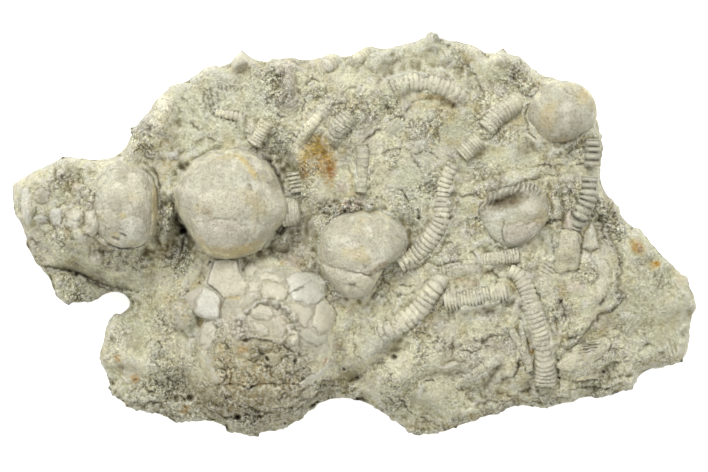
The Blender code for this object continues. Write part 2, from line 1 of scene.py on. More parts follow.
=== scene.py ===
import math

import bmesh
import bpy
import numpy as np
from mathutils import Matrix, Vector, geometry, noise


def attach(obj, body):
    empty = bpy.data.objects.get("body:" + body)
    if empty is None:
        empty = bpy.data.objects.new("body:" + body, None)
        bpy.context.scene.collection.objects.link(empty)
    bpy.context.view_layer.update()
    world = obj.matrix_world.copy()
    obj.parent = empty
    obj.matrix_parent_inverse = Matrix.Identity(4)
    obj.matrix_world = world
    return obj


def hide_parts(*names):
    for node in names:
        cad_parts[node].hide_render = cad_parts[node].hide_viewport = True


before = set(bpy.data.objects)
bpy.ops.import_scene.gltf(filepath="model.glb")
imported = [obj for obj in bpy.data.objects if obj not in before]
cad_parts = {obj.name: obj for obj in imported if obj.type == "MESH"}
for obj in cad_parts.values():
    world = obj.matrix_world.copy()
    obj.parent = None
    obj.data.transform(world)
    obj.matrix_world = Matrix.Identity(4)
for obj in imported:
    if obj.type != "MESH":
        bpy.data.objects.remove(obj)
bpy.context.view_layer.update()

# The look of a loose plate of limestone with crinoid calyxes and stems set in its upper face. It lies flat
# with the fossils up. Places on the face are on a sheet laid over it, from its upper left corner, x to the
# right and y down, in steps of a quarter millimetre unless a table says millimetres. Heights are millimetres
# above the foot.

# A millimetre in metres, a step of the sheet in millimetres, and where the plate's middle is on the sheet
MM = 0.001
STEP = 0.25
SHEET_MIDDLE = (88.6, 58.65)

# The slab's outline, clockwise from its left tip
OUTLINE = [
    (11, 190), (12.5, 183), (20, 179.5), (30, 172.5), (41, 167.5), (56, 160), (63, 157.5), (71, 156),
    (77, 158), (85, 159), (96, 160.5), (103, 159), (110, 157), (119, 156), (123, 151.5), (127, 146),
    (129, 139.5), (131, 136), (130.5, 127.5), (135.5, 125.5), (139.5, 121), (146, 113), (150.5, 109),
    (155, 101), (160, 95.5), (168, 88.5), (172, 84.5), (181, 82), (189, 82.5), (188.5, 79.5), (196, 74),
    (202.5, 69), (210, 65.5), (220, 67), (227, 67), (230, 65.5), (234, 58), (237, 54), (242, 50.5),
    (247, 53.5), (252, 58.5), (258, 61), (264, 65), (267.5, 62.5), (273, 58), (281, 59.5), (288, 57),
    (295, 57.5), (302, 61), (311, 60), (320, 58), (328, 54.5), (336, 53.5), (340.5, 55.5), (345, 59.5),
    (352, 55.5), (358, 51), (365, 47.5), (372, 46), (378, 47.5), (381.5, 50), (386, 49.5), (394, 46.5),
    (401, 45), (412, 42.5), (420, 40), (424, 38), (427, 33.5), (432, 32), (436.5, 33), (439.5, 36.5),
    (440.5, 42), (443, 40.5), (451, 40), (459.5, 42), (467.5, 43.5), (476.5, 45.5), (480, 48.5), (486, 55.5),
    (488.5, 57), (495, 53), (503, 48), (508.5, 53.5), (515.5, 55), (521.5, 56.5), (526, 61.5), (531.5, 67),
    (537.5, 70), (539.5, 74), (542, 77.5), (547.5, 76), (554.5, 77.5), (562.5, 81), (568.5, 82), (575.5, 83),
    (582, 85.5), (588, 90.5), (592.5, 98), (596, 105), (597.5, 113), (596, 120), (596.5, 127),
    (600.5, 132.5), (603.5, 136), (601.5, 139.5), (603, 145), (602, 155.5), (600.5, 164.5), (600, 176),
    (600.5, 183), (604, 191), (608.5, 197), (613, 199), (618, 205), (621, 210.5), (622.5, 217.5), (626, 223),
    (632.5, 228), (639.5, 228), (643, 231), (647.5, 238.5), (652, 243), (657, 248.5), (662.5, 256.5),
    (669.5, 261.5), (676.5, 269.5), (681, 274), (688, 276), (690, 281), (691, 289), (694.5, 296),
    (697.5, 305), (697, 310.5), (692.5, 315.5), (691, 328), (690, 341.5), (688, 353), (684.5, 360),
    (679.5, 364), (671.5, 366), (663.5, 368), (658, 369), (651, 369), (644, 370.5), (640.5, 372.5),
    (638.5, 379.5), (635, 387.5), (631.5, 390.5), (623.5, 391), (616.5, 392.5), (612, 396.5), (603, 398),
    (596, 398.5), (590, 395.5), (584.5, 397), (577.5, 400), (570.5, 403), (561.5, 403.5), (552.5, 406.5),
    (547.5, 409.5), (541, 408.5), (531.5, 407), (522.5, 406.5), (513.5, 406), (507.5, 407), (503, 411.5),
    (497, 415), (488, 414.5), (481, 417.5), (476.5, 421), (467.5, 423), (460.5, 425), (453.5, 428.5),
    (444.5, 431), (436.5, 434.5), (428.5, 435.5), (420.5, 436), (415.5, 436.5), (409, 433.5), (405.5, 430),
    (403, 426), (399.5, 424), (394, 422), (387, 417.5), (380, 410), (373, 407), (366.5, 402.5), (362, 399),
    (353.5, 400), (346.5, 398.5), (340, 399), (330.5, 398), (326, 400), (321.5, 402.5), (317, 402.5),
    (312, 406), (309, 411.5), (303, 417.5), (296, 422), (289.5, 424.5), (287, 428), (280, 431), (271, 431),
    (264, 429.5), (260, 432.5), (258, 436), (251.5, 437), (243.5, 436.5), (237.5, 433.5), (230.5, 434.5),
    (227.5, 432.5), (226, 426.5), (221.5, 423), (214.5, 420), (206.5, 421), (193, 422.5), (184, 422.5),
    (177, 424), (173.5, 422), (168.5, 418), (164, 414), (156, 413), (148, 414), (140, 412.5), (133, 411),
    (127.5, 408.5), (123, 403.5), (119.5, 400), (112.5, 397), (108, 392), (107, 386.5), (111.5, 383.5),
    (108, 380.5), (105.5, 374), (101, 366), (98, 359), (100.5, 349.5), (103.5, 339.5), (105, 328),
    (108, 320), (112.5, 314.5), (119.5, 313.5), (126.5, 312.5), (131, 310), (132.5, 305), (132, 300.5),
    (128.5, 297), (121.5, 292.5), (115, 289.5), (110, 289.5), (104.5, 293.5), (96.5, 299), (92, 301.5),
    (87, 303.5), (80.5, 301), (73.5, 302.5), (67.5, 305), (62, 302.5), (57.5, 299), (54, 294.5),
    (51.5, 285.5), (49, 276), (47, 272.5), (40, 268), (34.5, 262.5), (30, 253.5), (26.5, 245.5), (24, 236),
    (23, 227.5), (19.5, 222), (16, 217.5), (13, 210.5), (12, 201.5),
]

# How high the rock's broken face stands, in millimetres: x, y and height
LEVELS = [
    (7, 50, 17), (15, 46, 20), (24, 44, 20), (15, 60, 16), (10, 64, 12), (24, 61, 15), (17, 71, 9),
    (24, 73, 8.5), (30, 72, 9), (34, 66, 12), (36, 38, 20), (42, 33, 20), (41, 49, 14), (42, 60, 12),
    (46, 58, 11), (47, 24, 21), (57, 20, 22), (58, 32, 22.5), (48, 34, 21), (45, 41, 18), (71, 45, 17),
    (70, 59, 17), (66, 64, 19), (78, 62, 18), (55, 66, 18), (72, 25, 25), (80, 26, 25), (88, 20, 24.5),
    (88, 30, 25.5), (97, 28, 24), (78, 40, 23), (82, 48, 22), (89, 50, 24), (100, 33, 23), (108, 40, 23.5),
    (100, 48, 23), (112, 50, 23), (105, 14, 22), (120, 17, 20), (129, 16, 19), (118, 40, 22), (125, 38, 22),
    (135, 38, 20), (143, 40, 19.5), (140, 48, 20), (113, 64, 22), (117, 57, 22.5), (100, 60, 19.5),
    (104, 72, 21), (118, 76, 22), (126, 78, 22), (95, 78, 20), (95, 90, 20), (86, 97, 15), (106, 88, 21),
    (120, 86, 21), (130, 88, 20), (110, 97, 16), (105, 105, 11), (121, 99, 14), (136, 99, 12), (140, 94, 14),
    (140, 75, 21), (147, 70, 20), (142, 62, 19.5), (140, 83, 19), (160, 65, 17), (165, 75, 17),
    (160, 85, 16), (170, 82, 15), (152, 86, 15), (150, 95, 11), (40, 88, 17), (32, 86, 14), (32, 97, 11),
    (45, 100, 12), (57, 105, 10), (72, 103, 11), (82, 92, 16), (50, 75, 20), (50, 88, 20), (66, 92, 22),
    (66, 80, 26), (80, 80, 22), (75, 68, 20),
]

# How near a height has to be to count fully, in millimetres
LEVEL_REACH = 2.0

# Breaks where the face drops, in millimetres: the line, with the low side on its right hand, its drop and
# reach
BREAKS = [
    ([(147, 82), (150, 78), (153, 77.5), (156.25, 74.25), (154.25, 72), (154.5, 69.5), (155.5, 65),
    (152.75, 60)], .9, 7.0), ([(29.5, 72.25), (26, 71.5), (22.5, 70), (18.75, 68.25), (9, 66.5)], 2.5, 6.0),
    ([(86, 96), (79, 98), (72, 97.5), (65, 98.5), (57, 96)], 1.8, 5.0),
]

# Wide crevices, in millimetres: the line, then the half width and the depth
CREVICES = [
    ([(92, 86), (97, 88), (102, 86)], 1.8, .8), ([(86.25, 96.25), (91.25, 93), (96.25, 89.5),
    (100, 86.25)], 2.4, 4.2), ([(109, 24.25), (113, 26)], 1.4, 2.0), ([(41, 43), (41.5, 50),
    (42.5, 58)], 1.8, 1.0), ([(66, 37), (70, 42), (70.5, 47)], 2.0, 1.6),
]

# Lumps of rock, in millimetres: x, y, half length, half width, turn in degrees and rise
LUMPS = [
    (15.5, 42.7, 2.2, 2.2, 0, 1.2), (7, 52.5, 5, 2.6, 80, 1.6), (14.5, 53, 3, 2.2, 0, 1.3),
    (19.5, 47, 1.9, 1.9, 0, 1.3), (23.7, 65.2, 2.2, 2.2, 0, 1.6), (20.5, 56, 6, 3.2, 80, 1.8),
    (43, 39, 3, 2, 0, 1.6), (60.3, 15.5, 3, 2.4, 0, 2.0), (72, 21.5, 7, 2.6, 90, 2.2),
    (68.3, 17.5, 2.4, 2.4, 0, 1.6), (107.8, 10.6, 2.4, 2.4, 0, 2.4), (95, 15, 4, 2.2, 10, 1.6),
    (125.5, 14.5, 2.2, 2, 0, 1.6), (113, 14.5, 4, 2.5, 0, 1.5), (88.6, 50.2, 4.2, 2.0, 0, 1.8),
    (93, 86.5, 5, 4.6, 0, 2.4), (112.5, 91.9, 3.6, 1.5, 5, 1.6), (105.5, 97.5, 3.0, 1.7, 75, 1.6),
    (131, 21, 3.5, 2.5, 30, 1.5), (38, 92, 5, 4, 20, 1.8), (33, 90, 3, 3, 0, 1.4),
    (150, 90, 4, 2.4, 15, 1.4), (158, 80, 5, 3.5, 60, 1.2), (100, 95, 4, 3, 40, 1.6),
    (77, 99.5, 4, 1.6, 25, 1.4),
]

# Thin dark cracks in the rock: half width, depth in millimetres, how dark, and the line
CRACKS = [
    (1.8, 1.0, .6, [(155, 171), (160, 184), (162, 198), (163, 213), (160, 228), (155, 240)]),
    (3.2, 2.4, .95, [(176, 214), (181, 224), (185, 234), (181, 246)]), (1.3, .6, .6, [(186, 178), (180, 184),
    (176, 196), (172, 205)]), (1.2, .6, .6, [(168, 199), (174, 204), (171, 211)]), (4, 1.8, .8, [(267, 160),
    (274, 168), (280, 180), (284, 192)]), (1.6, 1.2, .8, [(215, 261), (232, 260), (247, 256), (262, 250)]),
    (2.2, 1.1, .65, [(266, 249), (272, 243), (277, 236)]), (2.4, 1.1, .75, [(273, 226), (280, 231),
    (283, 226)]), (1.3, .6, .6, [(131, 127), (132, 134), (132, 141)]), (1.5, .6, .6, [(191, 124), (196, 129),
    (201, 131)]), (1.2, .5, .5, [(180, 94), (187, 101)]), (1, .5, .5, [(196, 143), (205, 139), (214, 140)]),
    (1.8, .7, .6, [(24, 176), (29, 172), (34, 168)]), (1, .5, .7, [(72, 204), (79, 200), (86, 195)]),
    (1.2, .5, .5, [(55, 173), (56, 180), (62, 178)]), (1.2, .5, .5, [(80, 178), (88, 190), (84, 197)]),
    (1.2, .4, .5, [(35, 205), (38, 215), (44, 222), (52, 222)]), (1, .4, .45, [(64, 222), (72, 218),
    (80, 222)]), (1, .5, .5, [(25, 235), (35, 245), (48, 240)]), (1.2, .5, .5, [(38, 258), (48, 252),
    (52, 246)]), (1.2, .5, .6, [(95, 240), (110, 247), (130, 251), (146, 245)]), (1, .5, .5, [(60, 258),
    (72, 262), (84, 268)]), (2.2, 1.5, .8, [(70, 271), (76, 274), (84, 277), (93, 281), (102, 286),
    (110, 290)]), (2, .8, .5, [(166, 226), (170, 236), (168, 246)]), (1.5, .6, .5, [(160, 205), (166, 214),
    (164, 224)]), (2.2, 1, .6, [(186, 243), (192, 250), (200, 252)]), (1.2, .5, .5, [(150, 262), (160, 268),
    (172, 266), (185, 272)]), (1.5, .8, .65, [(306, 84), (312, 77), (318, 80)]), (1.2, .5, .5, [(302, 92),
    (304, 100), (303, 112)]), (1.2, .5, .5, [(274, 60), (275, 75), (279, 88)]), (1, .4, .5, [(265, 100),
    (270, 110), (280, 118), (290, 112)]), (1.2, .5, .5, [(262, 125), (272, 135), (266, 145)]),
    (1, .4, .4, [(295, 120), (305, 118), (312, 120)]), (1.2, .6, .65, [(399, 120), (404, 110), (412, 104),
    (420, 98), (428, 97)]), (1.2, .6, .6, [(388, 112), (396, 118), (404, 116), (405, 120)]),
    (1, .5, .5, [(385, 103), (387, 112), (382, 122)]), (2, .9, .75, [(366, 139), (371, 136), (377, 132),
    (381, 130)]), (1.2, .6, .6, [(368, 150), (367, 142), (370, 137)]), (1.1, .6, .6, [(386, 152), (395, 151),
    (401, 148), (399, 141), (394, 136)]), (1.1, .6, .7, [(402, 147), (408, 151), (416, 153), (428, 152),
    (436, 157)]), (1, .4, .55, [(436, 128), (435, 134), (440, 139)]), (1, .5, .5, [(470, 72), (476, 82),
    (482, 90)]), (1.2, .5, .55, [(392, 86), (398, 94), (399, 102)]), (1, .5, .5, [(345, 95), (352, 88),
    (362, 86)]), (.9, .4, .5, [(398, 43), (385, 47)]), (1.2, .6, .65, [(440, 42), (446, 44), (450, 50),
    (455, 55)]), (1.2, .7, .65, [(513, 82), (516, 74), (520, 68), (521, 60)]), (1.2, .6, .6, [(510, 78),
    (520, 84)]), (1.3, .7, .6, [(520, 104), (512, 110), (504, 115), (499, 121)]), (1.2, .6, .55, [(527, 108),
    (525, 118), (528, 127), (526, 138)]), (1.2, .7, .6, [(528, 130), (534, 136), (540, 142), (549, 144)]),
    (2, 1, .75, [(549, 144), (556, 142), (563, 142), (570, 137), (578, 133), (582, 127)]),
    (1.3, .6, .55, [(536, 86), (542, 89), (550, 87), (558, 84)]), (1.2, .6, .5, [(520, 93), (533, 97),
    (543, 98)]), (1.3, .7, .6, [(545, 102), (535, 103), (526, 106)]), (1.2, .5, .5, [(560, 155), (572, 150),
    (582, 145)]), (1.6, .8, .6, [(540, 166), (556, 166), (570, 165), (584, 161)]),
    (1.6, .4, .35, [(522, 178), (540, 178), (556, 174), (568, 169), (584, 166)]), (1.8, .9, .65, [(444, 196),
    (455, 195), (466, 196), (476, 193)]), (2.5, 1.2, .8, [(483, 205), (487, 199), (493, 196)]),
    (1.3, .6, .5, [(408, 150), (416, 160), (422, 172)]), (1, .4, .4, [(440, 150), (450, 158), (460, 160)]),
    (1.2, .6, .5, [(440, 170), (448, 176), (446, 186)]), (1.4, .7, .7, [(476, 218), (479, 222)]),
    (1.2, .6, .6, [(400, 190), (405, 196), (408, 203)]), (1.3, .7, .65, [(418, 210), (420, 220),
    (418, 226)]), (1, .5, .5, [(468, 232), (478, 240), (490, 243)]), (2, 1, .75, [(537, 226), (543, 222),
    (551, 223), (559, 219)]), (1.8, .9, .6, [(578, 200), (582, 210), (578, 222)]), (2, 1, .6, [(596, 206),
    (600, 218), (602, 232), (606, 238)]), (1.5, .7, .6, [(580, 228), (582, 240), (581, 252)]),
    (1.3, .8, .8, [(556, 271), (566, 270), (578, 268)]), (1.3, .7, .6, [(555, 235), (554, 250), (556, 262)]),
    (1.2, .9, .75, [(611, 244), (618, 253), (622, 262), (619, 276), (617, 288), (624, 298), (615, 304),
    (610, 311), (600, 313), (597, 322)]), (1.1, .6, .6, [(612, 281), (607, 294), (602, 302), (596, 308)]),
    (1.2, .6, .55, [(400, 262), (420, 262), (440, 266), (452, 262), (465, 260)]), (1.2, .7, .6, [(470, 252),
    (476, 258), (480, 266)]), (1.8, 1, .6, [(484, 276), (492, 270), (498, 274)]), (2.2, 1, .75, [(366, 275),
    (374, 271), (381, 268), (388, 263)]), (1.2, .6, .6, [(381, 283), (392, 285), (404, 284), (416, 285)]),
    (1.2, .6, .5, [(392, 290), (400, 296), (412, 292)]), (1.6, .8, .5, [(347, 384), (356, 377), (364, 371)]),
    (1.3, .8, .6, [(354, 345), (356, 354), (362, 360)]), (1.2, .7, .6, [(432, 341), (438, 339), (444, 343)]),
    (1.6, .8, .6, [(452, 344), (462, 350), (476, 349), (490, 345)]), (1.6, .8, .6, [(470, 338), (480, 342),
    (492, 338), (503, 334)]), (1.2, .6, .5, [(416, 330), (430, 336)]), (1.3, .8, .65, [(421, 388),
    (424, 382), (432, 380)]), (1.7, 1, .8, [(462, 387), (468, 383), (475, 380)]), (1.6, .9, .65, [(480, 378),
    (490, 372), (498, 366)]), (1.2, .7, .6, [(440, 370), (452, 374), (464, 373)]), (1.8, 1, .8, [(504, 380),
    (512, 377), (519, 370), (520, 360)]), (1.5, .9, .7, [(532, 372), (534, 362), (533, 352)]),
    (1.5, .9, .65, [(530, 350), (527, 340), (524, 330), (519, 320)]), (1.8, 1, .75, [(555, 354), (558, 362),
    (568, 366), (580, 366), (592, 362), (602, 352), (608, 343)]), (1.8, 1.1, .7, [(560, 366), (558, 378),
    (560, 388)]), (1.8, 1, .7, [(520, 392), (530, 388), (538, 392)]), (1.5, .8, .7, [(557, 304),
    (562, 300)]), (1.2, .7, .6, [(534, 283), (537, 292), (540, 300)]), (1.3, .8, .6, [(562, 380), (580, 383),
    (600, 380), (620, 378), (636, 376)]), (1.3, .8, .6, [(570, 392), (588, 388), (606, 390), (622, 385)]),
    (1.3, .7, .6, [(470, 400), (490, 403), (510, 399), (530, 403), (552, 402), (570, 397)]),
    (1.2, .7, .55, [(500, 392), (512, 397), (522, 394)]), (1.2, .6, .5, [(400, 400), (410, 412), (425, 420),
    (440, 424)]), (1.2, .6, .5, [(380, 392), (392, 402), (400, 410)]), (1.3, .7, .55, [(604, 360),
    (620, 364), (640, 362), (660, 360)]), (1.2, .6, .5, [(640, 350), (652, 345), (664, 352), (676, 345)]),
    (1.5, .9, .7, [(218, 385), (235, 383), (250, 388), (262, 382), (280, 384), (300, 383), (320, 380),
    (345, 378)]), (1.5, .9, .7, [(228, 402), (245, 407), (262, 402), (275, 409), (290, 402), (310, 395)]),
    (1.6, 1, .75, [(205, 405), (215, 415), (230, 418), (245, 413), (262, 416), (270, 411)]),
    (1.3, .7, .6, [(120, 400), (135, 404), (150, 402), (165, 406)]), (1.3, .7, .6, [(160, 385), (172, 392),
    (180, 400)]), (1.2, .6, .5, [(300, 350), (315, 347), (330, 352), (342, 348)]), (1.2, .6, .5, [(300, 400),
    (312, 392), (326, 390)]), (1.1, .6, .5, [(145, 345), (152, 340), (160, 343), (162, 352)]),
    (1.1, .5, .45, [(148, 356), (158, 362), (160, 370)]),
]

# Small holes: x, y, radius, depth in millimetres and how dark
HOLES = [
    (62, 176, 2.6, .9, .35), (183, 231, 4.2, 2.6, .95), (75, 274, 2.8, 1.4, .85), (238, 417, 3.6, 2.2, .8),
    (228, 395, 3.3, 1.8, .9), (190, 398, 3.6, 1.6, .6), (184, 400, 2.4, 1.0, .4), (257, 410, 2.7, 1.4, .8),
    (285, 424, 2, 1.1, .85), (199, 282, 1.7, .8, .9), (205, 278, 1.2, .5, .7), (189.5, 291, 1.3, .5, .7),
    (326, 297, 1.5, .7, .85), (316, 345, 1.6, .7, .7), (351, 203, 1.8, .9, .85), (344, 211, 1.5, .8, .85),
    (331, 206, 1.6, .8, .85), (372, 205, 1.5, .7, .75), (362, 210, 1.6, .7, .75), (539, 170, 1, .4, .6),
    (453, 105, 2.2, .6, .35), (520, 320, 2, .9, .75), (437, 341, 1.6, .6, .75), (394, 357, 3, 1.4, .8),
    (358, 378, 2.4, 1.1, .75), (344, 370, 1.8, .8, .75), (303, 378, 2, .9, .65), (168, 378, 2, .8, .65),
    (210, 262, 1.4, .6, .5), (265, 402, 2.2, 1.2, .8), (276, 405, 2, 1.1, .8), (540, 225, 2.2, .9, .75),
    (550, 220, 1.6, .7, .7), (418, 218, 2, .7, .7), (476, 218, 1.6, .7, .75), (484, 204, 2.6, 1.1, .85),
    (561, 301, 1.8, .8, .8), (560, 378, 2.2, 1.1, .8), (604, 372, 1.6, .7, .7),
]

# Small worn pieces of shell and pebbles that stand out of the rock: x, y, half length, half width, turn, rise
# in millimetres and colour
BEADS = [
    (62, 176, 8, 8, 0, 1.0, "cream"), (85, 169, 5, 5, 0, .7, "cream"), (88, 178, 5, 4, 0, .7, "grey"),
    (92, 205, 9, 7, 0, .5, "cream"), (60, 283, 7, 5, 0, .8, "grey"), (172, 156, 6.5, 4.2, 25, .9, "white"),
    (150, 155, 9, 5, -5, .9, "cream"), (136, 157, 8, 4, 10, .6, "cream"),
    (152, 118, 14, 4, 60, 1.0, "cream"), (178, 131, 12, 6, 0, .6, "cream"), (286, 70, 9, 10, 0, 1.2, "pink"),
    (291, 86, 8, 9, 20, 1.0, "pink"), (294, 102, 8, 9, 0, 1.0, "pinkgrey"), (272, 66, 6, 6, 0, .8, "cream"),
    (280, 100, 6, 5, 0, .9, "pink"), (265, 130, 9, 6, 30, .8, "pink"), (282, 140, 9, 8, 30, .8, "grey"),
    (300, 195, 8, 4, 0, .6, "grey"), (346, 206, 6, 4, 20, 1.4, "white"), (358, 202, 6, 4, -15, 1.5, "pink"),
    (368, 206, 5, 4, 0, 1.3, "white"), (337, 213, 5, 4, 0, 1.2, "white"), (350, 213, 5, 3, 30, 1.3, "cream"),
    (468, 84, 8, 9, 20, .8, "cream"), (428, 117, 10, 7, 30, .7, "grey"), (415, 130, 9, 8, 0, .7, "grey"),
    (395, 128, 9, 7, 0, .6, "grey"), (436, 163, 8, 5, 20, .7, "cream"), (430, 178, 6, 8, 0, .6, "grey"),
    (556, 152, 10, 5, 15, .9, "cream"), (520, 160, 18, 8, -10, .5, "grey"),
    (565, 178, 10, 4, 10, .6, "cream"), (550, 240, 9, 14, 10, .6, "grey"), (568, 219, 7, 10, 30, .8, "pink"),
    (591, 231, 6, 11, -15, .9, "cream"), (575, 288, 10, 8, -20, .8, "pink"),
    (545, 285, 10, 11, 0, .7, "cream"), (478, 243, 10, 5, 20, .8, "white"),
    (458, 268, 18, 7, 5, .6, "cream"), (430, 272, 9, 8, 0, .6, "cream"), (375, 345, 20, 15, 15, .7, "grey"),
    (364, 325, 8, 10, 0, .7, "cream"), (423, 390, 4, 9, -25, .9, "white"), (462, 372, 17, 5, 15, .9, "grey"),
    (484, 372, 14, 5, 32, 1.0, "grey"), (450, 366, 16, 4.5, 6, .8, "cream"),
    (497, 356, 9, 5, 40, .8, "grey"), (512, 388, 9, 5, 0, .7, "grey"), (586, 373, 26, 4.5, 6, .9, "cream"),
    (620, 383, 14, 4, 0, .7, "cream"), (597, 322, 12, 8, 30, .7, "cream"), (598, 338, 8, 6, 0, .8, "cream"),
    (640, 344, 14, 10, 20, .6, "grey"), (664, 350, 10, 8, 30, .7, "cream"),
    (250, 404, 12, 6, 10, 1.1, "grey"), (282, 398, 12, 5, 15, 1.0, "grey"),
    (262, 424, 14, 6, 0, .9, "cream"), (295, 412, 10, 5, 30, .9, "grey"), (212, 410, 8, 7, 0, 1.0, "grey"),
    (180, 408, 9, 7, 0, .9, "cream"), (150, 398, 12, 6, 0, .8, "cream"), (128, 375, 10, 9, 0, .7, "cream"),
    (125, 340, 12, 14, 0, .6, "cream"), (158, 350, 10, 9, 0, .7, "grey"), (165, 280, 11, 8, 0, .8, "cream"),
    (140, 262, 10, 6, 0, .7, "cream"), (120, 262, 9, 6, 10, .7, "grey"), (205, 268, 9, 6, 50, .7, "cream"),
    (290, 262, 12, 8, 0, .6, "pink"), (312, 262, 9, 10, 20, .7, "cream"), (252, 268, 10, 5, 0, .6, "cream"),
    (168, 310, 10, 9, 20, .8, "cream"), (180, 326, 9, 8, 0, .9, "cream"), (190, 345, 8, 8, 0, .7, "grey"),
    (170, 262, 10, 4, 0, .7, "cream"),
]

# Ribs pressed into the rock: x, y, half length across the ribs, half width, turn, rib spacing and rise in
# millimetres
RIB_FIELDS = [
    (211, 99, 9, 11, 12, 4.6, .5), (228, 115, 19, 5.5, -8, 4.0, .55), (147, 149, 7, 7, 35, 3.6, .4),
    (149, 152, 7, 6, 80, 4, .35), (514, 73, 8, 6, 60, 3.2, .3), (356, 128, 10, 8, -40, 4, .1),
    (432, 188, 10, 6, -60, 4.2, .25), (445, 212, 12, 8, -60, 5, .25), (443, 268, 8, 7, 10, 3.4, .3),
    (585, 215, 10, 9, 65, 6, .4), (670, 350, 9, 8, 20, 4.5, .14), (604, 225, 9, 10, 80, 4.6, .3),
    (232, 88, 18, 4, 0, 4, .25), (548, 268, 8, 8, 60, 4.2, .2),
]

# Where the rock is rougher or smoother than usual: x, y, half length, half width, turn and factor
ROUGH_ZONES = [
    (218, 108, 66, 42, 0, .28), (390, 66, 64, 24, 10, .4), (530, 165, 60, 26, 0, .5),
    (655, 300, 40, 55, 20, .28), (142, 315, 20, 50, 0, .55), (295, 240, 30, 30, 0, 1.1),
    (410, 130, 50, 36, 0, 1.0), (60, 215, 60, 60, 0, .85), (80, 290, 40, 18, 10, 1.3),
    (200, 400, 90, 40, 0, 1.45), (280, 400, 70, 34, 0, 1.5), (420, 400, 60, 34, 0, 1.0),
    (470, 350, 60, 40, 0, .68), (560, 385, 90, 26, 0, .85), (600, 225, 30, 30, 0, 1.3),
    (300, 90, 40, 40, 0, 1.25), (340, 208, 34, 12, 10, 1.6), (180, 350, 40, 40, 0, .95),
    (175, 240, 20, 40, 0, 1.4), (425, 160, 30, 30, 0, .7), (570, 325, 30, 30, 0, 1.0),
    (675, 250, 40, 30, 45, 1.2), (610, 270, 14, 30, 0, .35), (172, 292, 26, 24, 0, 1.1),
    (310, 395, 40, 16, 20, 1.6), (318, 158, 20, 24, 0, 1.2), (600, 393, 90, 9, 6, 1.2),
    (672, 362, 26, 8, 0, 1.3), (612, 368, 34, 12, 0, .6), (455, 427, 50, 9, 18, 1.5),
    (120, 404, 40, 10, -8, 1.4),
]

# Where the rock breaks in ledges: x, y, half length, half width, turn and how far
LEDGE_ZONES = [
    (285, 412, 70, 26, 5, .35), (200, 415, 50, 14, 0, .3), (590, 388, 70, 16, 5, .7),
    (430, 425, 60, 14, 5, .4), (670, 350, 40, 22, 30, .4), (70, 292, 40, 14, 10, .5),
    (340, 395, 30, 10, 0, .6),
]

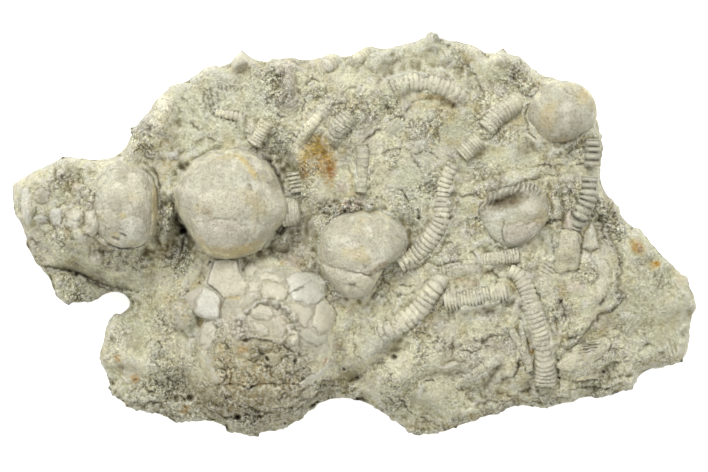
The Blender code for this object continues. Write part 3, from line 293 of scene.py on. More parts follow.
# Stains on the face, with painted shade among them: the "shade" entries are mostly painted shade in crevices,
# on the lower edges and on sides turned away from the lamp, the dirt entries are dirt and painted shade, and
# the two "dark" entries by the crushed cup are painted shade in its hollow. Each gives x, y, half length,
# half width, turn, colour, strength and how broken up they are
STAINS = [
    (320, 146, 12, 13, 0, "olive", .85, .35), (317, 156, 21, 23, 0, "amber", .95, .15),
    (305, 166, 9, 14, 0, "amber", .9, .3), (304, 172, 6, 8, 0, "orange", .8, .7),
    (326, 164, 13, 16, 10, "orange", .85, .5), (322, 156, 18, 20, 0, "olive", .4, .95),
    (318, 160, 17, 22, 0, "brown", .18, .95), (313, 165, 14, 14, 0, "cream", .75, .96),
    (331, 170, 5, 10, 15, "rust", .6, .8), (322, 188, 15, 13, 0, "cream", .6, .3),
    (330, 182, 7, 9, 0, "orange", .6, .8), (117, 358, 5, 5, 0, "orange", .9, .5),
    (121, 366, 3.5, 4, 0, "brown", .8, .5), (134, 380, 2.4, 2.4, 0, "brown", .9, .3),
    (134, 379, 6, 5.5, 0, "orange", .95, .5), (148, 378, 5, 5, 0, "ochre", .6, .8),
    (184, 410, 6, 5, 0, "orange", .85, .5), (227, 378, 9, 10, 0, "olive", .9, .4),
    (216, 360, 6, 6, 0, "orange", .6, .9), (638, 247, 9, 11, 25, "ochre", .8, .3),
    (638, 247, 6, 9, 25, "orange", .9, .5), (640, 250, 4, 7, 25, "brown", .8, .9),
    (633, 242, 6, 5, 0, "ochre", .8, .4), (655, 265, 9, 6, 0, "ochre", .8, .3),
    (656, 264, 6, 4, 0, "orange", .85, .5), (652, 269, 5, 4, 0, "ochre", .8, .5),
    (463, 281, 16, 4.5, 0, "orange", .38, .4), (470, 283, 12, 4, 0, "pink", .6, .4),
    (488, 272, 8, 5.5, 20, "brown", .7, .8), (532, 352, 4, 2.6, 0, "orange", .9, .4),
    (560, 302, 3.2, 3.6, 0, "brown", .8, .4), (342, 187, 8, 8, 0, "pink", .6, .6),
    (432, 98, 22, 4.4, -6, "ochre", .75, .4), (441, 99, 14, 3.0, -8, "brown", .75, .6),
    (453, 104, 8, 5.5, 0, "brown", .8, .4), (380, 267, 14, 4.5, 30, "brown", .8, .5),
    (368, 273, 6, 4, 0, "dirt_and_shade", .6, .4), (192, 288, 11, 4, 45, "ochre", .35, .6),
    (201, 323, 3.4, 7, 0, "olive", .9, .4), (199, 323, 1.6, 6, 0, "dark", .6, .4),
    (221.5, 306, 2.4, 8, 0, "brown", .6, .4), (234, 298, 12, 2.6, -3, "ochre", .6, .5),
    (283, 263, 6, 4, 0, "ochre", .6, .6), (209, 211, 9, 6, 0, "brown", .5, .98),
    (228, 252, 40, 9, 0, "ochre", .55, .3), (243, 160, 11, 4, -42, "ochre", .8, .3),
    (254, 173, 10, 4, -58, "ochre", .7, .4), (266, 209, 16, 12, 0, "shade", .5, .4),
    (218, 234, 26, 13, 0, "pinkgrey", .4, .4), (156, 205, 5, 38, 0, "ochre", .6, .4),
    (200, 242, 6, 14, 30, "ochre", .5, .4), (252, 246, 16, 5, 20, "ochre", .5, .4),
    (288, 210, 9, 16, 0, "cream", .4, .5), (508, 214, 30, 14, 0, "grey", .4, .4),
    (528, 206, 14, 12, 0, "cream", .6, .3), (556, 140, 22, 6, 0, "brown", .35, .6),
    (545, 120, 12, 20, 0, "ochre", .3, .5), (360, 285, 14, 9, 0, "shade", .5, .5),
    (335, 240, 14, 14, 0, "grey", .4, .5), (565, 259, 10, 8, 0, "brown", .45, .5),
    (272, 345, 8, 3.4, 5, "olive", .9, .4), (245, 341, 8, 4.5, 0, "brown", .75, .5),
    (326, 361, 7, 5, 0, "rust", .6, .9), (595, 335, 12, 5, 10, "ochre", .5, .6),
    (454, 132, 14, 11, 0, "pale_green", .8, .2), (505, 199, 19, 8, 14, "dark", .35, .8),
    (488, 200, 5, 6, 0, "dark", .5, .5), (496, 216, 12, 5, 10, "white", .45, .3),
    (340, 345, 7, 6, 0, "orange", .5, .8), (124, 216, 5, 5, 0, "ochre", .5, .4),
    (115, 235, 6, 4, 0, "ochre", .5, .5), (351, 205, 18, 8, 8, "rust", .5, .97),
    (228, 345, 10, 12, 0, "ochre", .45, .9), (227, 362, 8, 10, 0, "orange", .5, .9),
    (232, 325, 10, 14, 0, "pink", .5, .7), (582, 97, 9, 12, -20, "ochre", .5, .5),
    (596, 372, 12, 3, 0, "rust", .3, .8), (180, 306, 8, 8, 0, "ochre", .4, .9),
    (310, 70, 10, 16, 0, "brown", .35, .8), (288, 88, 12, 32, 8, "pinkgrey", .45, .6),
    (290, 110, 12, 8, 0, "brown", .35, .7), (165, 118, 8, 16, -35, "ochre", .35, .4),
    (682, 280, 8, 6, 0, "orange", .4, .6), (420, 425, 20, 8, 0, "ochre", .4, .6),
    (450, 427, 22, 6, 10, "ochre", .35, .6), (474, 418, 8, 5, 0, "ochre", .5, .4),
    (608, 200, 10, 14, -30, "brown", .35, .7), (593, 100, 8, 14, 0, "ochre", .3, .7),
    (276, 355, 10, 12, 0, "olive", .5, .5), (320, 205, 30, 10, 0, "shade", .35, .5),
    (310, 222, 20, 16, 0, "shade", .3, .5), (440, 282, 40, 6, 0, "cream", .4, .3),
    (105, 340, 12, 30, 0, "grey", .3, .3), (180, 372, 24, 28, 0, "shade", .35, .6),
    (100, 250, 26, 8, 0, "pinkgrey", .4, .6), (258, 378, 70, 22, 0, "pinkgrey", .3, .7),
    (258, 352, 50, 30, 0, "shade", .8, .35), (258, 402, 76, 34, 0, "shade", .75, .5),
    (262, 388, 66, 24, 0, "brown", .5, .8), (252, 408, 52, 20, 0, "dirt_and_shade", .7, .9),
    (264, 350, 40, 16, 0, "dirt_and_shade", .4, .6), (322, 392, 30, 12, 25, "dirt_and_shade", .5, .5),
    (220, 350, 7, 9, 0, "ochre", .7, .5), (243, 350, 7, 6, 0, "orange", .5, .8),
    (298, 424, 24, 12, 30, "dirt_and_shade", .4, .5), (222, 350, 16, 26, 0, "shade", .5, .5),
    (250, 382, 66, 34, 0, "ochre", .34, .97), (232, 402, 40, 14, 0, "olive", .5, .95),
    (300, 396, 36, 16, 25, "pale_green", .35, .8), (248, 330, 20, 16, 0, "pinkgrey", .5, .5),
    (287, 322, 34, 24, 0, "pinkgrey", .25, .3), (258, 396, 60, 14, 0, "dirt_and_shade", .35, .7),
    (470, 352, 50, 22, 0, "pinkgrey", .4, .6), (200, 398, 50, 14, 0, "shade", .5, .5),
    (260, 398, 60, 18, 0, "shade", .35, .7), (560, 392, 80, 10, 0, "shade", .25, .7),
    (605, 222, 16, 18, 0, "shade", .5, .5), (400, 278, 20, 9, -10, "shade", .4, .6),
    (365, 372, 26, 14, -35, "shade", .35, .6), (495, 345, 26, 10, 0, "shade", .3, .6),
    (178, 225, 12, 34, 0, "shade", .35, .6), (570, 130, 26, 8, 10, "shade", .35, .6),
    (500, 185, 60, 10, -8, "shade", .2, .6), (280, 175, 8, 20, -25, "dirt_and_shade", .35, .5),
    (88, 281, 24, 7, -18, "shade", .5, .5), (130, 185, 14, 10, 0, "cream", .3, .3),
]

# Patches lighter or darker than the rock around them: x, y, half length, half width, turn, colour and
# strength
TONES = [
    (450, 378, 60, 24, 0, "cream", .5), (600, 384, 50, 12, 0, "cream", .3),
    (440, 365, 66, 36, 0, "rock", .5), (596, 376, 66, 26, 0, "rock", .7), (165, 365, 40, 34, 0, "rock", .4),
    (195, 110, 40, 30, 0, "rock", .35), (300, 250, 20, 14, 0, "cream", .3),
    (230, 110, 70, 40, 0, "pale_green", .45), (390, 60, 60, 20, 10, "green", .35),
    (520, 160, 60, 24, 0, "green", .3), (655, 300, 44, 64, 15, "green", .5),
    (142, 310, 22, 50, 0, "green", .5), (200, 410, 120, 26, 0, "green", .3),
    (430, 405, 60, 26, 0, "green", .35), (70, 285, 40, 22, 0, "green", .35),
    (120, 200, 40, 40, 0, "cream", .3), (290, 240, 24, 24, 0, "pinkgrey", .4),
    (400, 240, 60, 60, 0, "grey", .2), (600, 390, 60, 14, 0, "green", .25),
    (420, 190, 30, 40, 0, "pale_green", .35), (160, 100, 24, 30, 40, "green", .3),
]

# The plates of the broken calyx: outline, rise and doming in millimetres, colour and its strength
PLATES = [
    ([(215, 259), (228, 258), (238, 260), (240, 272), (247, 283), (245.5, 294), (234, 297), (224, 298.5),
    (217, 291), (207, 284), (209.5, 273)], .3, .8, "cream", .45), ([(249, 283), (256, 279.5), (260, 284),
    (258, 291), (250, 292)], .5, .3, "cream", .6), ([(262, 283), (272, 281.5), (283, 284), (289, 291),
    (288, 298), (280, 302), (272, 299), (264, 298), (261, 291)], .8, .9, "cream", .6), ([(259, 275),
    (267, 272), (276, 274), (283, 280), (280, 283), (270, 280), (260, 281)], .6, .4, "cream", .8),
    ([(285, 278), (297, 272), (311, 272), (322, 277), (327, 287), (326, 298), (317, 303), (308, 306),
    (300, 302), (294, 301), (290, 295), (289, 287)], .6, .8, "white", .5), ([(283, 305), (291, 303),
    (301, 305), (311, 307), (313, 316), (308, 322), (306, 328), (299, 322), (293, 314),
    (287, 309)], .5, .6, "cream", .6), ([(316, 303), (324, 300), (333, 306), (337, 314), (334, 323),
    (328, 331), (320, 333), (311, 326), (314, 316)], .6, .5, "cream", .5), ([(300, 326), (308, 327),
    (319, 335), (327, 334), (328, 342), (318, 345), (306, 341), (299, 336)], .4, .4, "grey", .4),
    ([(243, 266), (252, 262), (258, 268), (254, 276), (246, 275)], .4, .3, "cream", .5), ([(289, 330),
    (295, 329), (299, 337), (299, 347), (296, 353), (290, 349), (286, 341)], .8, .7, "cream", .7),
    ([(271, 318), (279, 316), (287, 322), (288, 331), (281, 339), (274, 334),
    (273, 326)], .3, .3, "pinkgrey", .5), ([(253, 322), (262, 322), (269, 328), (270, 335), (262, 337),
    (255, 331)], .5, .5, "grey", .5), ([(251, 308), (262, 304), (272, 308), (274, 315), (268, 321),
    (258, 319), (251, 316)], .5, .4, "cream", .5), ([(262, 354), (272, 351), (281, 353), (282, 361),
    (274, 367), (266, 362)], .7, .5, "grey", .5), ([(186, 322), (196, 318), (200, 326), (198, 336),
    (189, 338), (184, 331)], .5, .5, "grey", .4), ([(203, 322), (212, 321), (217, 330), (212, 348),
    (204, 350), (200, 340)], .5, .5, "cream", .4), ([(200, 362), (211, 352), (217, 357), (214, 370),
    (222, 381), (212, 380), (203, 372)], .12, .2, "grey", .15), ([(298, 384), (305, 377), (318, 372),
    (328, 362), (326, 371), (316, 380), (304, 388)], .3, .3, "white", .3), ([(22, 188), (28, 186), (31, 196),
    (31, 208), (33, 220), (27, 225), (22, 214), (20, 200)], .5, .5, "white", .6), ([(50, 211), (55, 206),
    (62, 208), (63, 216), (60, 225), (52, 225), (49, 218)], .8, .7, "white", .7), ([(35, 215), (42, 214),
    (47, 217), (46, 223), (38, 224), (34, 220)], .5, .4, "white", .5), ([(33, 190), (43, 187), (51, 193),
    (49, 202), (38, 204), (32, 198)], .4, .4, "pinkgrey", .5), ([(66, 213), (74, 208), (84, 211), (85, 222),
    (78, 230), (68, 226)], .7, .8, "cream", .6), ([(84, 212), (94, 210), (101, 217), (101, 229), (94, 238),
    (85, 232)], .7, .9, "cream", .7), ([(78, 232), (88, 234), (96, 240), (90, 247),
    (78, 243)], .5, .5, "pinkgrey", .5), ([(72, 183), (78, 182), (81, 187), (78, 192),
    (72, 191)], .6, .4, "pink", .5), ([(82, 190), (88, 189), (90, 195), (86, 199),
    (81, 196)], .6, .4, "cream", .5), ([(90, 252), (98, 250), (104, 256), (101, 265), (92, 266),
    (88, 259)], .9, .7, "cream", .8), ([(562, 228), (565, 216), (569, 209), (574, 220), (576, 229),
    (570, 232)], .9, .5, "pink", .6), ([(581, 248), (584, 236), (590, 220), (596, 232), (600, 248),
    (591, 252)], 1.0, .8, "cream", .6), ([(596, 262), (604, 259), (611, 266), (611, 282), (606, 296),
    (597, 304), (594, 290), (598, 276)], .3, .3, "cream", .5), ([(168, 154), (173, 152), (178, 154),
    (178, 159), (171, 161)], .7, .4, "white", .9), ([(287, 193), (292, 189), (297, 192), (294, 197),
    (288, 198)], .7, .4, "white", .8), ([(276, 226), (282, 225), (285, 230), (280, 234),
    (276, 232)], .8, .4, "cream", .7), ([(264, 229), (268, 228), (269, 232),
    (265, 233)], .3, .2, "white", .8),
]

# The surface colours, as they look in plain light
COLOURS = {
    "rock": (231, 228, 194), "calyx": (172, 168, 148), "stem": (200, 195, 169), "cream": (208, 203, 179),
    "chalk": (203, 199, 181),
    "white": (222, 220, 208), "grey": (192, 191, 170), "pink": (209, 192, 172), "pinkgrey": (186, 178, 162),
    "green": (188, 188, 155), "pale_green": (204, 207, 182), "ochre": (190, 168, 104),
    "amber": (202, 168, 76), "orange": (186, 134, 22), "rust": (150, 80, 28),
    # The dirt colour is also painted as shade in hollows and crevices, and "shade" mostly stands for painted
    # shade
    "brown": (132, 108, 78), "olive": (150, 128, 62), "dirt_and_shade": (116, 103, 66),
    "shade": (164, 158, 128), "dark": (46, 37, 16),
}

# The height at which places on the sheet read the noise
NOISE_LEVEL = 7.3


def linear(name):
    """A named colour as linear red, green and blue."""
    c = np.array(COLOURS[name]) / 255.0
    return np.where(c <= 0.04045, c / 12.92, ((c + 0.055) / 1.055) ** 2.4)


def in_space(points, span, seed):
    """The points as a noise function reads them: span is 1, and the seed moves them."""
    scaled = points / span
    if scaled.shape[1] == 2:
        scaled = np.column_stack([scaled, np.full(len(scaled), NOISE_LEVEL)])
    return (scaled + seed).tolist()


def noise_at(points, span, octaves, seed):
    """Soft noise between about -1 and 1, whose largest blobs are about span across."""
    return np.array([noise.fractal(p, 1.0, 2.0, octaves) for p in in_space(points, span, seed)])


def cells_at(points, span, seed):
    """How far each point is from the middle of its cell, 0 to about 1."""
    return np.array([noise.voronoi(p)[0][0] for p in in_space(points, span, seed)])


def fade(r, inner, outer):
    """1 up to inner, 0 from outer, and smooth between them."""
    t = np.clip((outer - r) / (outer - inner), 0.0, 1.0)
    return t * t * (3.0 - 2.0 * t)


def oval(points, x, y, half_length, half_width, turn):
    """1 on the edge of a turned oval on the sheet, and less inside it."""
    angle = math.radians(turn)
    dx = points[:, 0] - x
    dy = y - points[:, 1]
    u = (dx * math.cos(angle) + dy * math.sin(angle)) / half_length
    v = (-dx * math.sin(angle) + dy * math.cos(angle)) / half_width
    return np.hypot(u, v)


def near(points, low, high):
    """The numbers of the points inside a box on the sheet."""
    return np.nonzero(((points > low) & (points < high)).all(axis=1))[0]


def line_gap(points, line):
    """For each point its distance to an open line, and its side: +1 is the line's right hand."""
    best = np.full(len(points), np.inf)
    side = np.zeros(len(points))
    for start, end in zip(line[:-1], line[1:]):
        start = np.array(start, dtype=float)
        along = np.array(end, dtype=float) - start
        rel = points - start
        t = np.clip(rel @ along / (along @ along), 0.0, 1.0)
        gap = np.linalg.norm(rel - t[:, None] * along, axis=1)
        turn = along[0] * rel[:, 1] - along[1] * rel[:, 0]
        nearer = gap < best
        best[nearer] = gap[nearer]
        side[nearer] = np.sign(turn[nearer])
    return best, side


def near_line(points, line, reach):
    """The numbers of the points within a box around a line."""
    line = np.array(line, dtype=float)
    return near(points, line.min(axis=0) - reach, line.max(axis=0) + reach)


def shifted(points, amount, span, seeds):
    """The points moved about unevenly, with one seed for each way."""
    return points + amount * np.column_stack([noise_at(points, span, 3, seed) for seed in seeds])


def wobble(points):
    """The points moved about a little, so that drawn lines and ovals get uneven edges."""
    return shifted(points, 1.3, 7.0, (11.0, 23.0))


def bent(points):
    """The points moved about more, so that lumps are uneven blocks and not ovals."""
    return shifted(points, 3.4, 13.0, (15.0, 27.0))


# The rock's face

# The slow swell of the face: its height and span in millimetres, and the height at which it reads the noise
SWELL_RISE = 1.1
SWELL_SPAN = 5.5
SWELL_LEVEL = 0.5

# How much of a crevice's depth is cut, and where a lump's foot is, as a share of its half sizes
CREVICE_SHARE = 0.7
FOOT = 1.25


def mixed_levels(points):
    """The height at each place in millimetres, mixed from the heights around it."""
    total = np.zeros(len(points))
    weights = np.zeros(len(points))
    for x, y, height in LEVELS:
        gap2 = (points[:, 0] - x) ** 2 + (points[:, 1] - y) ** 2
        weight = (gap2 + LEVEL_REACH**2) ** -2
        total += weight * height
        weights += weight
    return total / weights


def plain_ground(P):
    """The height of the rock's face at each place on the sheet, as the solids have it."""
    points = P * STEP
    uneven = bent(P) * STEP
    height = mixed_levels(points)
    swell = [noise.noise((u, v, SWELL_LEVEL)) for u, v in (points / SWELL_SPAN).tolist()]
    height += SWELL_RISE * np.array(swell)
    for line, drop, reach in BREAKS:
        gap, side = line_gap(points, line)
        height -= np.where(side > 0, drop * np.clip(1.0 - gap / reach, 0.0, 1.0), 0.0)
    for line, half_width, depth in CREVICES:
        gap = line_gap(points, line)[0]
        height -= CREVICE_SHARE * depth * fade(gap / half_width, 0.0, 1.5)
    for x, y, half_length, half_width, turn, rise in LUMPS:
        r = oval(uneven, x, y, half_length, half_width, turn)
        height += rise * fade(r, 0.0, FOOT)
    return height


def zoned(P, zones, start):
    """A value at each place: each zone's own inside it, and start elsewhere."""
    value = np.full(len(P), start)
    for x, y, half_length, half_width, turn, own in zones:
        weight = fade(oval(P, x, y, half_length, half_width, turn), 0.5, 1.3)
        value += (own - value) * weight
    return value


# How rough the rock is outside the drawn zones
USUAL_ROUGH = 0.9


def roughness_at(P):
    """How rough the rock is at each place: the drawn zones, with smooth and crusty patches among them."""
    patches = np.clip(0.66 + 1.6 * noise_at(P, 30.0, 3, 37.0), 0.12, 1.45)
    zone = zoned(P, ROUGH_ZONES, USUAL_ROUGH)
    return zone * np.maximum(patches, 1.6 * (zone - 1.0))


def cut_lines(P, lines):
    """How deep the drawn cracks are at each place, in millimetres: sharp above and sloping gently below."""
    depth = np.zeros(len(P))
    for half, deep, _, line in lines:
        found = near_line(P, line, 5 * half)
        gap, side = line_gap(P[found], line)
        below = side * (1 if line[-1][0] >= line[0][0] else -1) > 0
        own = np.where(below, np.exp(-gap / (1.6 * half)), np.exp(-((gap / (0.6 * half)) ** 2)))
        own *= deep * broken_line(P[found], half)
        depth[found] = np.maximum(depth[found], own)
    return depth


def broken_line(P, half):
    """How much of a drawn crack is open at each place: wide ones nearly all along, hairlines in parts."""
    always = min(1.0, half / 3.6)
    return always + (1.0 - always) * np.clip(0.35 + 2.4 * noise_at(P, 9.0, 2, 61.0), 0.0, 1.0)


def crust(P, rough):
    """The small relief of broken limestone, in millimetres: uneven knobs with sharp creases between them."""
    W = bent(P)
    patch = np.clip(0.55 + 1.5 * noise_at(P, 44.0, 2, 31.0), 0.1, 1.4)
    knobs = np.abs(noise_at(W, 19.0, 2, 1.7)) ** 0.8
    small = np.abs(noise_at(W, 7.5, 2, 2.9)) ** 0.8
    grit = noise_at(P, 3.6, 2, 5.1)
    nodules = (0.5 - cells_at(W, 13.0, 7.0)) * np.clip(rough - 0.8, 0.0, 0.7)
    return (1.0 * patch * knobs + 0.62 * small + 0.19 * grit - 0.40) * rough + 2.4 * nodules


# How far outside its outline a plate has any effect, in steps, and how much smoother than the rock plates are
PLATE_REACH = 6.0
PLATE_CALM = 0.8


def raised_plates(P, plates):
    """How high the plates stand at each place, how much of it they cover, and their colours as coats."""
    height = np.zeros(len(P))
    cover = np.zeros(len(P))
    coats = []
    for outline, rise, dome, colour, strength in plates:
        found = near_line(P, outline, PLATE_REACH)
        inward = depth_inside(P[found], outline)
        deep = np.maximum(inward, 0.0)
        own = rise * (1.0 - np.exp(-deep / 2.0)) + 1.2 * dome * (1.0 - np.exp(-deep / 8.0))
        height[found] = np.maximum(height[found], own)
        height[found] -= 0.28 * rise * np.exp(-((inward / 1.1) ** 2))
        own = np.clip(0.5 + inward / 2.0, 0.0, 1.0)
        cover[found] = np.maximum(cover[found], own)
        weight = np.zeros(len(P))
        weight[found] = strength * own
        coats.append((colour, weight))
    return height, cover, coats


# How high one ledge is, in millimetres, and how steep its edge is
LEDGE = 1.7
LEDGE_EDGE = 3.0

# How far a bead and a field of ribs can reach, in steps, and a hole, as a multiple of its radius
BEAD_BOX = 40
RIB_BOX = 30
HOLE_BOX = 3


def around(P, x, y, reach):
    """The numbers of the places inside a square on the sheet."""
    return near(P, (x - reach, y - reach), (x + reach, y + reach))


def fine_ground(P):
    """The rock's face with all its small relief, in millimetres."""
    W = wobble(P)
    U = bent(P)
    rough = roughness_at(P)
    height = plain_ground(P)
    height = rise_to_mound(P, height)
    steps = height / LEDGE + 0.25 * noise_at(P, 30.0, 2, 3.0)
    part = steps - np.floor(steps)
    stepped = (np.floor(steps) + np.clip((part - 0.5) * LEDGE_EDGE + 0.5, 0.0, 1.0) - steps) * LEDGE
    height += stepped * zoned(P, LEDGE_ZONES, 0.1)
    height = bank_against_stems(P, height)
    height = bank_against_calyxes(P, height)
    height = laid_on_shield(P, height, 9.0, 2.0)
    plates, cover, _ = raised_plates(W, PLATES)
    height += plates + crust(P, rough * (1.0 - PLATE_CALM * cover))
    for x, y, half_length, half_width, turn, rise, _ in BEADS:
        found = around(P, x, y, BEAD_BOX)
        r = oval(U[found], x, y, half_length, half_width, turn)
        height[found] += fade(r, 0.0, FOOT) * rise * 0.9
    for x, y, half_length, half_width, turn, spacing, rise in RIB_FIELDS:
        found = around(P, x, y, RIB_BOX)
        r = oval(W[found], x, y, half_length, half_width, turn)
        angle = math.radians(turn)
        along = (W[found, 0] - x) * math.cos(angle) + (y - W[found, 1]) * math.sin(angle)
        height[found] += rise * np.cos(2 * math.pi * along / spacing) * fade(r, 0.8, 1.15)
    height -= cut_lines(U, CRACKS)
    for x, y, radius, deep, _ in HOLES:
        found = around(P, x, y, HOLE_BOX * radius)
        r = oval(W[found], x, y, radius, radius, 0)
        height[found] -= deep * fade(r, 0.3, 1.3)
    return height


# The stems that no rock is banked against
FREE_STEMS = ["large_calyx_stem"]

# How much lower than usual the rock lies against some stems, as a share of their radius
CLEAR_STEMS = {"right_edge_stem_upper": 0.8, "right_edge_stem_lower": 0.8, "diagonal_stem_lower": 0.7,
               "diagonal_stem_upper": 0.6, "wide_stem": 0.7, "short_level_stem": 0.5, "lower_arc_stem": 0.5,
               "long_upright_stem": 0.2, "middle_upright_stem": 0.3, "top_edge_stem_left": 0.5,
               "top_edge_stem_right": 0.4, "small_ribbed_stem": 0.5}

# Whether a stem's start and end show, where the others' ends are buried
SHOWN_ENDS = {
    "large_calyx_stem": (True, True), "middle_calyx_stem": (True, True), "short_level_stem": (False, True),
    "long_level_stem": (True, True), "long_upright_stem": (True, True), "diagonal_stem_lower": (True, True),
    "diagonal_stem_upper": (True, False), "wide_stem": (False, True), "stem_above_large_calyx": (True, True),
    "stem_beside_large_calyx": (True, True), "right_edge_stem_upper": (True, True),
    "right_edge_stem_lower": (True, False), "middle_upright_stem": (True, True),
}

# How far along a stem its height is evened out, in millimetres
SETTLE = 3.0

# How far from a buried end the stem starts to go down into the rock, in millimetres
DIVE = 4.0

# How high the rock comes against each calyx in millimetres, and how fast it falls off under it
BANKS = {"large_calyx": (24.0, 0.7), "left_calyx": (21.5, 0.7), "middle_calyx": (23.6, 0.7),
         "upper_right_calyx": (21.2, 0.7), "crushed_cup": (21.4, 3.0)}

# The hollow behind the crushed cup's comb: x, y, half length, half width and turn, and its depth in
# millimetres
CUP_HOLLOW = (506, 201, 23, 10, 14)
CUP_HOLLOW_DEPTH = 3.5

# Where the rock lies high against a calyx: x, y, half length, half width, turn, and height in millimetres
SHOULDERS = [
    (84, 224, 24, 22, 0, 24.6), (90, 190, 14, 16, 0, 23.6), (167, 182, 12, 24, 0, 23.4),
    (166, 222, 9, 18, 0, 22.6), (196, 154, 22, 8, 25, 22.6), (280, 238, 14, 10, 30, 22.6),
    (354, 206, 24, 7, 8, 26.2), (318, 226, 7, 10, -20, 23.5), (384, 266, 9, 5, 30, 24.4),
    (536, 138, 12, 8, -40, 22.0), (530, 100, 10, 16, 10, 21.8), (572, 140, 14, 5, 20, 21.4),
    (504, 182, 27, 7, 18, 23.6), (556, 206, 6, 18, 0, 22.6), (492, 242, 10, 7, -40, 22.6),
    (566, 250, 22, 24, 0, 20.6), (204, 291, 12, 12, 0, 22.2), (586, 358, 30, 14, 15, 17.6),
    (186, 312, 12, 16, 0, 23.6),
]

# How far a bank can reach, in steps, and out of how many points of a stem's line one is used
BANK_BOX = 30
PATH_STRIDE = 4


def bank_against_stems(P, height):
    """The rock lies against each stem in a soft uneven bank, so that the stems lie partly in it."""
    cover = 0.20 + 0.9 * noise_at(P, 15.0, 2, 47.0)
    reach = np.clip(5.5 + 7.0 * noise_at(P, 11.0, 2, 53.0), 2.0, 11.0)
    for name, points, _, _, rise, worn in STEMS:
        if name in FREE_STEMS:
            continue
        middle, width, run = stem_line(name, points, rise)
        path = on_sheet(middle)
        radius = width / 2
        found = near(P, path.min(axis=0) - BANK_BOX, path.max(axis=0) + BANK_BOX)
        gaps = np.linalg.norm(P[found][:, None, :] - path[None, ::PATH_STRIDE, :], axis=2)
        spot = gaps.argmin(axis=1) * PATH_STRIDE
        gap = np.maximum(gaps.min(axis=1) - radius[spot] / STEP, 0.0)
        start_shows, end_shows = SHOWN_ENDS.get(name, (False, False))
        to_end = np.minimum(run + DIVE * start_shows, run[-1] - run + DIVE * end_shows)[spot]
        share = cover[found] + 0.45 * worn + 0.9 * fade(to_end, 0.0, DIVE) - CLEAR_STEMS.get(name, 0.0)
        share -= 0.8 * (start_shows * fade(run, 0.0, 3.0) + end_shows * fade(run[-1] - run, 0.0, 3.0))[spot]
        top = middle[spot, 2] + radius[spot] * np.clip(share, -0.4, 1.02)
        height[found] += np.maximum(top - height[found], 0.0) * np.exp(-gap / reach[found])
    return height


def bank_against_calyxes(P, height):
    """The rock rises where it meets each calyx, and lies high against some of them."""
    uneven = 1.8 * noise_at(P, 13.0, 2, 79.0)
    reach = np.clip(5.0 + 6.0 * noise_at(P, 11.0, 2, 97.0), 2.0, 10.0)
    for name, (level, inward) in BANKS.items():
        rim = np.array(RIMS[name], dtype=float)
        found = near_line(P, rim, BANK_BOX)
        gap = line_gap(P[found], RIMS[name] + RIMS[name][:1])[0]
        gap[inside_outline(P[found], rim)] *= inward
        top = level + uneven[found]
        height[found] += np.maximum(top - height[found], 0.0) * np.exp(-gap / reach[found])
    height -= CUP_HOLLOW_DEPTH * fade(oval(P, *CUP_HOLLOW), 0.5, 1.1)
    for x, y, half_length, half_width, turn, top in SHOULDERS:
        r = oval(bent(P), x, y, half_length, half_width, turn)
        height += np.maximum(top + 0.5 * uneven - height, 0.0) * fade(r, 0.3, 1.5)
    return height


def distance_inside(P):
    """How far each place is from the slab's outline, in steps."""
    return line_gap(P, OUTLINE + OUTLINE[:1])[0]


# Where on the sheet the edge's rounding starts to widen, and where the more broken lower edge starts, both
# with the length over which they change: the first in millimetres, the second in steps
ROUNDING_START, ROUNDING_LENGTH = 10.0, 100.0
SOUTH_START, SOUTH_LENGTH = 350.0, 40.0

# How much lower the rim is than the face beside it, as a share
RIM_DROP = 0.38


def southness(P):
    """0 over most of the sheet, and 1 along its lower edge."""
    return np.clip((P[:, 1] - SOUTH_START) / SOUTH_LENGTH, 0.0, 1.0)


def slab_heights(P):
    """The heights of the slab's upper face, rounded off towards its edge."""
    inside = distance_inside(P) * STEP
    share = np.clip((P[:, 1] * STEP - ROUNDING_START) / ROUNDING_LENGTH, 0.0, 1.0)
    south = southness(P)
    height = fine_ground(P) + np.exp(-inside / (2.0 + 2.0 * south)) * crust(P + 500.0, 0.7 + 1.0 * south)
    round_width = (1.9 + 2.6 * share) * np.clip(1.0 + 1.2 * noise_at(P, 14.0, 2, 73.0), 0.4, 1.8)
    bend = np.sqrt(1.0 - (1.0 - np.clip(inside / round_width, 0.0, 1.0)) ** 2)
    return height * (1.0 - RIM_DROP + RIM_DROP * bend)


# How far in from the edge the underside rises, and how deep it goes below the foot before it is cut flat, in
# millimetres, and how high it comes at the edge as a share of the face
TUCK_WIDTH = 7.5
TUCK_DEPTH = 1.2
TUCK_SHARE = 0.40


def underside_heights(P):
    """The underside rises gently towards the edge, with shallow lumps."""
    tuck = np.clip(distance_inside(P) * STEP / TUCK_WIDTH, 0.0, 1.0)
    height = TUCK_SHARE * plain_ground(P) * (1.0 - tuck) ** 0.8 - TUCK_DEPTH * tuck
    height += 1.3 * noise_at(P, 16.0, 4, 71.0) * np.clip(height / 3.0, 0.0, 1.0)
    return np.maximum(height, 0.0)


# The large broken calyx is a mound that the rock climbs

# Its middle and half sizes on the sheet, its foot and rise in millimetres, how full its curve is, where it
# turns down as a share of its half sizes, and how steeply
MOUND = (267.2, 334.0, 70.0, 78.0)
MOUND_FOOT = 20.5
MOUND_RISE = 13.0
MOUND_FULLNESS = 0.8
MOUND_RIM = 0.97
MOUND_WALL = 30.0

# How softly the rock joins the mound, and how far below it the rock stays, in millimetres
MOUND_SOFTNESS = 0.8
MOUND_COVER = 1.4

# The face under the big shield-shaped plate: its height in millimetres at a place, its slope, and the reach
# in steps
SHIELD_HEIGHT = 25.8
SHIELD_PLACE = (228.0, 279.0)
SHIELD_SLOPE = 0.09
SHIELD_REACH = 14.0


def mound_height(P):
    """The height of the plated calyx, going on down past its edge, and how far out each place is."""
    x, y, half_length, half_width = MOUND
    r = oval(P, x, y, half_length, half_width, 0)
    top = MOUND_FOOT + MOUND_RISE * (1.0 - np.minimum(r, MOUND_RIM) ** 2) ** MOUND_FULLNESS
    return top - np.maximum(r - MOUND_RIM, 0.0) * MOUND_WALL, r


